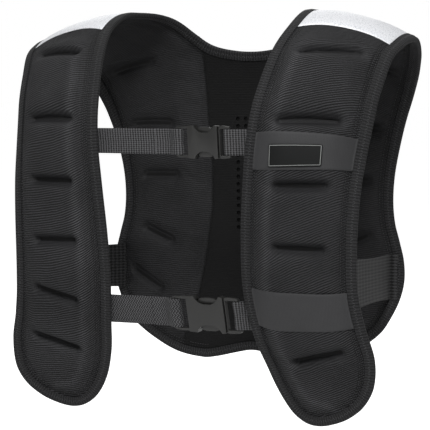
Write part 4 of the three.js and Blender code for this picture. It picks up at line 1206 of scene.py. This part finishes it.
def shade_holes(mesh, radius, middle_z):
    """Paints shade into the holes: marks their insides in the slit attribute, which the material darkens."""
    place = np.zeros(len(mesh.vertices) * 3)
    mesh.vertices.foreach_get("co", place)
    place = place.reshape(-1, 3)
    pitch = np.array([HOLE_COLUMN_PITCH, HOLE_ROW_PITCH]) * MM
    most = np.array([HOLE_COLUMNS - 1, HOLE_ROWS - 1]) / 2
    counted = (place[:, [0, 2]] - (0, middle_z)) / pitch + most
    nearest = np.clip(np.round(counted), 0, 2 * most)
    away = np.linalg.norm((counted - nearest) * pitch, axis=1)
    holes = (away < radius * 1.02).astype(float)
    front = np.full(len(place), np.inf)
    for number in np.unique(nearest[holes > 0] @ (1, HOLE_COLUMNS)):
        same = (holes > 0) & (nearest @ (1, HOLE_COLUMNS) == number)
        front[same] = place[same, 1].min() + HOLE_MOUTH * MM
    attribute = mesh.attributes.get("slit") or mesh.attributes.new("slit", "FLOAT", "POINT")
    inside = (place[:, 1] > front) & (place[:, 1] < front + HOLE_SHADE_DEPTH * MM)
    attribute.data.foreach_set("value", holes * inside)


def make_back_centre():
    rows, columns = CENTRE_GRID
    share = np.linspace(-1, 1, columns)
    limit = seam_line[0, 0]
    across = np.repeat(share[None, :] * 60.0, rows, axis=0)
    for _ in range(12):
        neck = neck_at(np.minimum(np.abs(across[0]), 60))
        hem = hem_at(np.abs(across[-1]))
        level = neck + (hem - neck) * np.linspace(0, 1, rows)[:, None]
        across = share[None, :] * (seam_across(np.maximum(level, limit)) + SEAM_LAP / 2)
    along = level
    seam = seam_groove(along, across)
    half = EDGE_HALF - BACK_ROW_DEPTH * seam
    # Painted shade along the seam grooves on both faces
    values = {"slit": (0.9 * seam, 0.9 * seam)}
    piece = grid_solid("back_centre_cloth", along, across, half, -half, None, values)
    middle_z = (HOLE_TOP_Z - HOLE_ROW_PITCH * (HOLE_ROWS - 1) / 2) * MM
    sizes = bpy.context.scene.vest_sizes
    run_tree(
        piece, punch_tree(),
        radius=sizes.hole_radius,
        depth=PINS_DEPTH * MM,
        columns=HOLE_COLUMNS,
        rows=HOLE_ROWS,
        width=HOLE_COLUMN_PITCH * (HOLE_COLUMNS - 1) * MM,
        height=HOLE_ROW_PITCH * (HOLE_ROWS - 1) * MM,
        middle=(0.0, 0.0, middle_z),
        material=finishes["centre_knit"],
    )
    shade_holes(piece.data, sizes.hole_radius, middle_z)
    smooth(piece.data, 40)
    dress(piece, finishes["centre_knit"], "panel_fabric", "back_centre")


# Binding

def binding_section(count=9):
    """Section of the folded tape: inward distance, height and place on the tape's width."""
    reach = BINDING_WIDTH
    shares = np.linspace(0, 1, count)
    outside = [(reach * (1 - share), BINDING_HALF * (1 - 0.16 * share ** 3)) for share in shares]
    turns = np.radians(np.linspace(80, -80, count))
    rise = FOLD_SHARE * BINDING_HALF
    fold = [(FOLD_START - FOLD_REACH * math.cos(turn), rise * math.sin(turn)) for turn in turns]
    lower = [(inward, -height) for inward, height in reversed(outside)]
    inner = [(reach, -SLOT_HALF), (SLOT_END, -SLOT_HALF), (SLOT_END, SLOT_HALF), (reach, SLOT_HALF)]
    return outside[:-1] + fold + lower[1:] + inner


def closed_edge():
    """The whole edge: half from neck to hem on the left, then back on the right."""
    along = np.concatenate([edge_points[:, 0], edge_points[-2:0:-1, 0]])
    across = np.concatenate([edge_points[:, 1], -edge_points[-2:0:-1, 1]])
    inward = np.concatenate([edge_inward, edge_inward[-2:0:-1] * (1, -1)])
    return along, across, inward


def make_edge_binding():
    along, across, inward = closed_edge()
    places = surface_point(along, across)
    steps = np.linalg.norm(np.roll(places, -1, axis=0) - places, axis=1)
    travelled = np.concatenate([[0.0], np.cumsum(steps)[:-1]])
    section = np.array(binding_section())
    around = np.concatenate([[0.0], np.cumsum(np.linalg.norm(np.diff(section, axis=0), axis=1))])
    lines = [
        cloth_point(along + inward[:, 0] * reach, across + inward[:, 1] * reach, np.full_like(along, height))
        for reach, height in section
    ]
    vertices = np.stack(lines, axis=1).reshape(-1, 3)
    count, size = len(along), len(section)
    i, k = np.meshgrid(np.arange(count), np.arange(size), indexing="ij")
    here = (i * size).ravel()
    after = (((i + 1) % count) * size).ravel()
    k = k.ravel()
    k2 = (k + 1) % size
    faces = np.stack([here + k, after + k, after + k2, here + k2], axis=1)
    uv = np.stack([np.repeat(travelled, size), np.tile(around, count)], axis=1) * MM
    piece = mesh_object("edge_binding_tape", vertices, faces, uv, None, 50)
    face_outwards(piece)
    dress(piece, finishes["binding_tape"], "binding_tape", "edge_binding")


def face_outwards(piece):
    shape = bmesh.new()
    shape.from_mesh(piece.data)
    if shape.calc_volume(signed=True) < 0:
        bmesh.ops.reverse_faces(shape, faces=shape.faces)
    shape.to_mesh(piece.data)
    shape.free()
    piece.data.update()


# Stitches

def stitch_tree():
    """Geometry nodes that lay stitches along lines, each turned by an angle that changes sides."""
    settings = {"Pitch": "Float", "Length": "Float", "Radius": "Float", "Angle": "Float"}
    maker, given, result = geometry_group("stitch_lines", "Line", settings, "Stitches")
    curve = maker.out("GeometryNodeMeshToCurve", {"Mesh": given["Line"]})
    even = maker.add("GeometryNodeResampleCurve", {"Curve": curve}, mode="LENGTH")
    maker.put(even.inputs["Length"], given["Pitch"])
    tangent = maker.out("GeometryNodeInputTangent")
    lift = maker.out("GeometryNodeInputNamedAttribute", {"Name": "lift"}, data_type="FLOAT_VECTOR")
    axes = maker.out("FunctionNodeAxesToRotation", {0: tangent, 1: lift},
                     primary_axis="X", secondary_axis="Z")
    parity = maker.math("MODULO", maker.out("GeometryNodeInputIndex"), 2.0)
    side = maker.minus(maker.times(parity, 2.0), 1.0)
    spin = maker.out("ShaderNodeCombineXYZ", {2: maker.times(side, given["Angle"])})
    turn = maker.out("FunctionNodeEulerToRotation", {0: spin})
    turned = maker.out("FunctionNodeRotateRotation", {0: axes, 1: turn}, rotation_space="LOCAL")
    bead = maker.out("GeometryNodeMeshUVSphere", {"Segments": 6, "Rings": 4, "Radius": 1.0})
    half = maker.times(given["Length"], 0.5)
    size = maker.out("ShaderNodeCombineXYZ", {0: half, 1: given["Radius"], 2: given["Radius"]})
    stitch = maker.out("GeometryNodeTransform", {"Geometry": bead, "Scale": size})
    places = {"Points": even.outputs[0], "Instance": stitch, "Rotation": turned}
    copies = maker.out("GeometryNodeInstanceOnPoints", places)
    return close_group(maker, given, result, copies)


def stitch_lines(name, lines, angle=0.0, scale=1.0, pitch_scale=1.0, finish="thread"):
    """One piece with stitches along lines of (along, across, height, closed)."""
    vertices = []
    edges = []
    lifts = []
    for along, across, height, closed in lines:
        places = cloth_point(along, across, height)
        normal = surface_normal(along, across) * np.sign(np.mean(height))
        first = len(vertices)
        vertices.extend(places.tolist())
        lifts.extend(normal.tolist())
        count = len(places)
        edges.extend((first + i, first + i + 1) for i in range(count - 1))
        if closed:
            edges.append((first + count - 1, first))
    mesh = bpy.data.meshes.new(name)
    mesh.from_pydata(vertices, edges, [])
    attribute = mesh.attributes.new("lift", "FLOAT_VECTOR", "POINT")
    attribute.data.foreach_set("vector", np.array(lifts, float).ravel())
    piece = add_object(name, mesh)
    sizes = bpy.context.scene.vest_sizes
    run_tree(
        piece, bpy.data.node_groups.get("stitch_lines") or stitch_tree(),
        pitch=sizes.stitch_pitch * pitch_scale,
        length=sizes.stitch_length * scale,
        radius=sizes.stitch_radius,
        angle=angle,
        material=finishes[finish],
    )
    smooth(piece.data, 60)
    uv = piece.data.uv_layers.get("UVMap") or piece.data.uv_layers.new(name="UVMap")
    uv.active = True
    dress(piece, finishes[finish], "binding_tape")


def both_sides(lines):
    return lines + [(along, -across, height, closed) for along, across, height, closed in lines]


def make_stitches():
    along, across, inward = closed_edge()
    middle = BINDING_WIDTH * 0.52
    row_along = along + inward[:, 0] * middle
    row_across = across + inward[:, 1] * middle
    outside = np.full_like(row_along, BINDING_HALF * 0.985)
    for face, height in (("outer", outside), ("inner", -outside)):
        stitch_lines(f"binding_stitches_{face}", [(row_along, row_across, height, True)],
                     angle=math.radians(64), scale=1.6, pitch_scale=0.8)

    # Rows beside the binding on the fronts and on both faces of the back
    rows = []
    for inset in STITCH_ROWS:
        line = inset_edge(inset)
        front = line[(line[:, 0] < STRIP_FRONT_ALONG - 4)].T
        rows.append((*front, front_top(*front) - STITCH_SINK, False))
        outer = line[np.argmin(line[:, 0]):]
        back = outer[(outer[:, 0] > STRIP_REAR_ALONG + 20) & (outer[:, 1] > 55)].T
        rows.append((*back, back_top(*back) - STITCH_SINK, False))
        under = EDGE_HALF + BACK_INNER_PUFF * back_fullness(*back, [])
        rows.append((*back, STITCH_SINK - under, False))
    stitch_lines("panel_stitches", both_sides(rows))

    # Zigzag over each seam of the back, on its inside and its outside
    level = np.linspace(seam_line[0, 0] + 14, hem_corner() - BINDING_WIDTH - 2, 200)
    height = np.full_like(level, EDGE_HALF - 0.25)
    seam_rows = [(level, seam_across(level), side * height, False) for side in (-1.0, 1.0)]
    stitch_lines("seam_stitches", both_sides(seam_rows), angle=math.radians(60), scale=1.3,
                 pitch_scale=0.6, finish="seam_thread")


# Strips, bands and label

def make_reflective_strips():
    rows, columns = 60, 70
    share = np.linspace(0, 1, rows)[:, None]
    level = STRIP_FRONT_ALONG + (STRIP_REAR_ALONG - STRIP_FRONT_ALONG) * share
    inner = across_at(beside_inner, level)
    outer = across_at(beside_outer, level)
    over = np.linspace(0, 1, columns)[None, :]
    hollow = STRIP_FRONT_HOLLOW * (1 - share) * 4 * over * (1 - over)
    along = level + hollow
    across = inner + (outer - inner) * over
    under = strip_under(along, across)
    rim = np.minimum(np.minimum(over, 1 - over) * 90, np.minimum(share, 1 - share) * 96)
    top = under + STRIP_THICKNESS * (0.45 + 0.55 * smooth_step(0, 1.5, rim))
    for side, mirror in SIDES:
        node = f"reflective_strip_{side}"
        piece = grid_solid(f"{node}_tape", along, across, top, under, mirror=mirror, angle=60)
        dress(piece, finishes["strip"], "reflective_strip", node)


def make_elastic_bands():
    rows, columns = 40, 110
    for name, low_in, high_in, low_out, high_out in BANDS:
        share = np.linspace(0, 1, rows)[:, None]
        inside = (low_in + (high_in - low_in) * share) * VEST_HEIGHT
        outside = (low_out + (high_out - low_out) * share) * VEST_HEIGHT
        over = np.linspace(0, 1, columns)[None, :]
        along = inside + (outside - inside) * over
        start = across_at(beside_inner, inside)
        end = across_at(beside_outer, outside)
        across = start + (end - start) * over
        under = band_under(along, across)
        rim = np.minimum(share, 1 - share) * 38 + over * 0
        top = under + BAND_THICKNESS * (0.35 + 0.65 * smooth_step(0, 1.6, rim))
        node = f"elastic_band_{name}"
        piece = grid_solid(f"{node}_weave", along, across, top, under, angle=60)
        dress(piece, finishes["elastic"], "elastic_band", node)


def make_label():
    """Rubber plate with rounded corners, a raised frame and a bare field."""
    columns, rows = 150, 70
    u, v = np.meshgrid(np.linspace(-1, 1, columns), np.linspace(-1, 1, rows))
    x = u * LABEL_LENGTH / 2
    y = v * LABEL_HEIGHT / 2
    inner_x = np.clip(x, -LABEL_LENGTH / 2 + LABEL_CORNER, LABEL_LENGTH / 2 - LABEL_CORNER)
    inner_y = np.clip(y, -LABEL_HEIGHT / 2 + LABEL_CORNER, LABEL_HEIGHT / 2 - LABEL_CORNER)
    dx, dy = x - inner_x, y - inner_y
    length = np.maximum(np.hypot(dx, dy), 1e-9)
    squeeze = np.maximum(np.abs(dx), np.abs(dy)) / length
    squeeze[(dx == 0) & (dy == 0)] = 1.0
    x = inner_x + dx * squeeze
    y = inner_y + dy * squeeze
    inset = np.minimum(LABEL_LENGTH / 2 * (1 - np.abs(u)), LABEL_HEIGHT / 2 * (1 - np.abs(v)))
    across = LABEL_CENTRE_X + x
    along = LABEL_CENTRE_ALONG + y + LABEL_SLOPE * x
    under = band_under(along, across) + BAND_THICKNESS + LABEL_LIFT
    edge = smooth_step(0, 0.5, inset)
    low = LABEL_FRAME_INSET
    high = LABEL_FRAME_INSET + LABEL_FRAME_WIDTH
    ridge = smooth_step(low, low + 0.35, inset) * smooth_step(high + 0.35, high, inset)
    top = under + LABEL_THICKNESS * (0.6 + 0.4 * edge) + LABEL_FRAME_HEIGHT * ridge
    piece = grid_solid("label_patch_rubber", along, across, top, under, angle=60)
    dress(piece, finishes["rubber"], "label_rubber", "label_patch")
    piece.data.materials.append(finishes["rubber_frame"])
    on_ridge = (ridge > 0.5).ravel()
    for face in piece.data.polygons:
        corners = list(face.vertices)
        if max(corners) < on_ridge.size and all(on_ridge[corner] for corner in corners):
            face.material_index = 1


# Straps and buckles

def solid_sections(node):
    """Sections of a ribbon solid in order, each as its four corners."""
    shape = bmesh.new()
    shape.from_mesh(bpy.data.objects[node].data)
    bmesh.ops.remove_doubles(shape, verts=shape.verts, dist=2e-6)
    shape.verts.ensure_lookup_table()
    near = {v.index: {e.other_vert(v).index for e in v.link_edges} for v in shape.verts}
    places = {v.index: np.array(v.co) for v in shape.verts}
    found = None
    for edge in shape.edges:
        if len(edge.link_faces) != 2:
            continue
        cap = {v.index for face in edge.link_faces for v in face.verts}
        layers = walk_layers(cap, near)
        if layers and all(len(layer) == 4 for layer in layers):
            if found is None or len(layers) > len(found):
                found = layers
    shape.free()
    if found is None:
        raise RuntimeError(f"{node} has no ribbon sections")
    return order_sections(found, places)


def walk_layers(cap, near):
    """Vertices by how many steps they are from a cap."""
    layers = [set(cap)]
    seen = set(cap)
    while True:
        following = {other for index in layers[-1] for other in near[index]} - seen
        if not following:
            return layers
        layers.append(following)
        seen |= following
        if len(following) > 4:
            return None


def order_sections(layers, places):
    """Corners of each layer as upper pair and lower pair, each pair kept on its own face."""
    ordered = []
    for layer in layers:
        corners = sorted((places[index] for index in layer), key=lambda p: -p[2])
        pairs = [corners[:2], corners[2:]]
        if ordered:
            for number, pair in enumerate(pairs):
                kept = ordered[-1][2 * number]
                other = ordered[-1][2 * number + 1]
                straight = np.linalg.norm(pair[0] - kept) + np.linalg.norm(pair[1] - other)
                crossed = np.linalg.norm(pair[1] - kept) + np.linalg.norm(pair[0] - other)
                if crossed < straight:
                    pair.reverse()
        else:
            first = pairs[0][0]
            if np.linalg.norm(pairs[1][0] - first) > np.linalg.norm(pairs[1][1] - first):
                pairs[1].reverse()
        ordered.append(np.array(pairs[0] + pairs[1]))
    return np.array(ordered)


def fine_ribbon(node, name, step=0.0012, columns=26):
    """A woven ribbon with soft edges that follows the solid's sections closely."""
    sections = solid_sections(node)
    middles = sections.mean(axis=1)
    gaps = np.linalg.norm(np.diff(middles, axis=0), axis=1)
    travelled = np.concatenate([[0.0], np.cumsum(gaps)])
    table = SmoothTable(np.concatenate([middles, sections.reshape(len(sections), -1)], axis=1), 3)
    count = max(int(travelled[-1] / step), 8)
    places = np.linspace(0, table.knots[-1], count + 1)
    rows = table.at(places)[:, 3:].reshape(-1, 4, 3)
    share = np.linspace(0, 1, columns)
    round_off = 1 - 0.55 * np.exp(-np.minimum(share, 1 - share) * 26)
    vertices = []
    faces_of_ribbon = [
        rows[:, face][:, None] + (rows[:, face + 2] - rows[:, face])[:, None] * share[None, :, None]
        for face in (0, 1)
    ]
    middle = sum(faces_of_ribbon) / 2
    for face in faces_of_ribbon:
        vertices.append((middle + (face - middle) * round_off[None, :, None]).reshape(-1, 3))
    faces = grid_solid_faces(count + 1, columns)
    width = np.linalg.norm(rows[:, 0] - rows[:, 2], axis=1)
    across = (share[None, :] - 0.5) * width[:, None]
    length = np.repeat(places[:, None], columns, axis=1)
    uv = np.stack([length, across], axis=-1).reshape(-1, 2)
    piece = mesh_object(name, np.concatenate(vertices), faces, np.concatenate([uv, uv]), None, 60)
    face_outwards(piece)
    return piece


CHEST_WEBBING = [
    ("chest_webbing_upper_right", "webbing"),
    ("chest_webbing_upper_left", "webbing"),
    ("chest_webbing_lower_right", "herringbone"),
    ("chest_webbing_lower_left", "webbing"),
]


def make_chest_webbing():
    for node, finish in CHEST_WEBBING:
        dress(fine_ribbon(node, f"{node}_weave"), finishes[finish], "webbing", node)


def make_side_straps():
    for side in ("left", "right"):
        node = f"side_strap_{side}"
        piece = fine_ribbon(node, f"{node}_weave", step=0.002, columns=40)
        dress(piece, finishes["side_webbing"], "webbing", node)


def make_buckles():
    sizes = bpy.context.scene.vest_sizes
    for node in ("buckle_socket_upper", "buckle_plug_upper", "buckle_socket_lower", "buckle_plug_lower"):
        shape = bmesh.new()
        shape.from_mesh(bpy.data.objects[node].data)
        bmesh.ops.remove_doubles(shape, verts=shape.verts, dist=2e-6)
        bmesh.ops.dissolve_limit(shape, angle_limit=math.radians(2), verts=shape.verts, edges=shape.edges)
        mesh = bpy.data.meshes.new(f"{node}_plastic")
        shape.to_mesh(mesh)
        shape.free()
        piece = add_object(f"{node}_plastic", mesh)
        bevel = piece.modifiers.new("rounded_edges", "BEVEL")
        bevel.width = sizes.edge_radius
        bevel.segments = 2
        bevel.limit_method = "ANGLE"
        bevel.angle_limit = math.radians(28)
        plain_mesh(piece)
        smooth(piece.data, 32)
        dress(piece, finishes["plastic"], "buckle_plastic", node)


# Stage

# Soft lights. Columns: name, place, width, power in watts
LIGHTS = [
    ("key_light", (0.8, -2.1, 1.4), 0.8, 56),
    ("fill_light", (-2.2, -1.4, 0.5), 1.4, 3),
    ("back_light", (-1.0, 2.3, 0.6), 1.4, 9),
    ("top_light", (0.0, -0.1, 1.9), 1.4, 19),
]
LIGHT_TARGET = Vector((0, 0, -0.2))


def area_light(name, place, size, power):
    data = bpy.data.lights.new(name, "AREA")
    data.shape = "SQUARE"
    data.size = size
    data.energy = power
    lamp = add_object(name, data)
    lamp.location = place
    lamp.rotation_euler = (LIGHT_TARGET - Vector(place)).to_track_quat("-Z", "Y").to_euler()


def make_stage():
    scene = bpy.context.scene
    corners = [(-1, -1), (1, -1), (1, 1), (-1, 1)]
    vertices = [(FLOOR_HALF * x, FLOOR_HALF * y, FLOOR_Z) for x, y in corners]
    floor = mesh_object("studio_floor", vertices, [(0, 1, 2, 3)])
    finish = Finish("studio_floor", roughness=0.9, specular=0.1)
    finish.shader.inputs["Base Color"].default_value = (0.9, 0.9, 0.9, 1.0)
    finish.shader.inputs["Emission Color"].default_value = (1.0, 1.0, 1.0, 1.0)
    seen = finish.maker.add("ShaderNodeLightPath").outputs["Is Camera Ray"]
    finish.maker.put(finish.shader.inputs["Emission Strength"], finish.maker.times(seen, 0.8))
    floor.data.materials.append(finish.material)
    world = bpy.data.worlds.new("studio_world")
    world.use_nodes = True
    maker = NodeMaker(world.node_tree)
    background = world.node_tree.nodes["Background"]
    background.inputs[0].default_value = (1.0, 1.0, 1.0, 1.0)
    seen = maker.add("ShaderNodeLightPath").outputs["Is Camera Ray"]
    glow = maker.plus(maker.times(seen, 1.0 - WORLD_GLOW), WORLD_GLOW)
    maker.put(background.inputs[1], glow)
    scene.world = world
    scene.view_settings.view_transform = "Standard"
    for light in LIGHTS:
        area_light(*light)
    back = Vector((
        math.sin(CAMERA_AZIMUTH) * math.cos(CAMERA_ELEVATION),
        -math.cos(CAMERA_AZIMUTH) * math.cos(CAMERA_ELEVATION),
        math.sin(CAMERA_ELEVATION),
    ))
    right = Vector((math.cos(CAMERA_AZIMUTH), math.sin(CAMERA_AZIMUTH), 0.0))
    target = right * TARGET_RIGHT + Vector((0, 0, TARGET_HEIGHT))
    data = bpy.data.cameras.new("camera")
    data.lens = CAMERA_LENS
    data.sensor_width = CAMERA_SENSOR
    data.clip_end = 50
    camera = add_object("camera", data)
    camera.location = target + back * CAMERA_DISTANCE
    camera.rotation_euler = back.to_track_quat("Z", "Y").to_euler()
    scene.camera = camera


# Operators, panel and main

class VestStep:
    """Runs the functions that make one group of pieces."""

    def execute(self, context):
        for make in self.makers:
            make()
        return {"FINISHED"}


class VEST_OT_finishes(bpy.types.Operator):
    """Build the node groups and materials"""
    bl_idname = "vest.finishes"
    bl_label = "Finishes"

    def execute(self, context):
        finishes.update(build_finishes(context.scene.vest_colours))
        return {"FINISHED"}


class VEST_OT_stage(VestStep, bpy.types.Operator):
    """Add the floor, the lights and the camera"""
    bl_idname = "vest.stage"
    bl_label = "Stage"
    makers = [make_stage]


class VEST_OT_front_panels(VestStep, bpy.types.Operator):
    """Make the two padded front panels"""
    bl_idname = "vest.front_panels"
    bl_label = "Front Panels"
    makers = [make_front_panels]


class VEST_OT_back(VestStep, bpy.types.Operator):
    """Make the padded sides and the pierced middle of the back"""
    bl_idname = "vest.back"
    bl_label = "Back"
    makers = [make_back_pads, make_back_centre]


class VEST_OT_binding(VestStep, bpy.types.Operator):
    """Make the tape round the edge and the sewn rows"""
    bl_idname = "vest.binding"
    bl_label = "Binding and Stitches"
    makers = [make_edge_binding, make_stitches]


class VEST_OT_trims(VestStep, bpy.types.Operator):
    """Make the reflective strips, the elastic bands and the label"""
    bl_idname = "vest.trims"
    bl_label = "Strips, Bands and Label"
    makers = [make_reflective_strips, make_elastic_bands, make_label]


class VEST_OT_straps(VestStep, bpy.types.Operator):
    """Make the chest webbing and the side straps"""
    bl_idname = "vest.straps"
    bl_label = "Straps"
    makers = [make_chest_webbing, make_side_straps]


class VEST_OT_buckles(VestStep, bpy.types.Operator):
    """Make the moulded side release buckles"""
    bl_idname = "vest.buckles"
    bl_label = "Buckles"
    makers = [make_buckles]


STEPS = [
    VEST_OT_finishes,
    VEST_OT_stage,
    VEST_OT_front_panels,
    VEST_OT_back,
    VEST_OT_binding,
    VEST_OT_trims,
    VEST_OT_straps,
    VEST_OT_buckles,
]


class VEST_PT_panel(bpy.types.Panel):
    bl_label = "Weighted Vest"
    bl_idname = "VEST_PT_panel"
    bl_space_type = "VIEW_3D"
    bl_region_type = "UI"
    bl_category = "Vest"

    def draw(self, context):
        for step in STEPS:
            self.layout.operator(step.bl_idname)
        for settings in (context.scene.vest_sizes, context.scene.vest_colours):
            for key in settings.__annotations__:
                self.layout.prop(settings, key)


CLASSES = [VestSizes, VestColours, *STEPS, VEST_PT_panel]


def register():
    for item in CLASSES:
        bpy.utils.register_class(item)
    bpy.types.Scene.vest_sizes = bpy.props.PointerProperty(type=VestSizes)
    bpy.types.Scene.vest_colours = bpy.props.PointerProperty(type=VestColours)


def unregister():
    del bpy.types.Scene.vest_sizes
    del bpy.types.Scene.vest_colours
    for item in reversed(CLASSES):
        bpy.utils.unregister_class(item)


def main():
    register()
    bpy.ops.vest.finishes()
    bpy.ops.vest.stage()
    bpy.ops.vest.front_panels()
    bpy.ops.vest.back()
    bpy.ops.vest.binding()
    bpy.ops.vest.trims()
    bpy.ops.vest.straps()
    bpy.ops.vest.buckles()


if __name__ == "__main__":
    main()
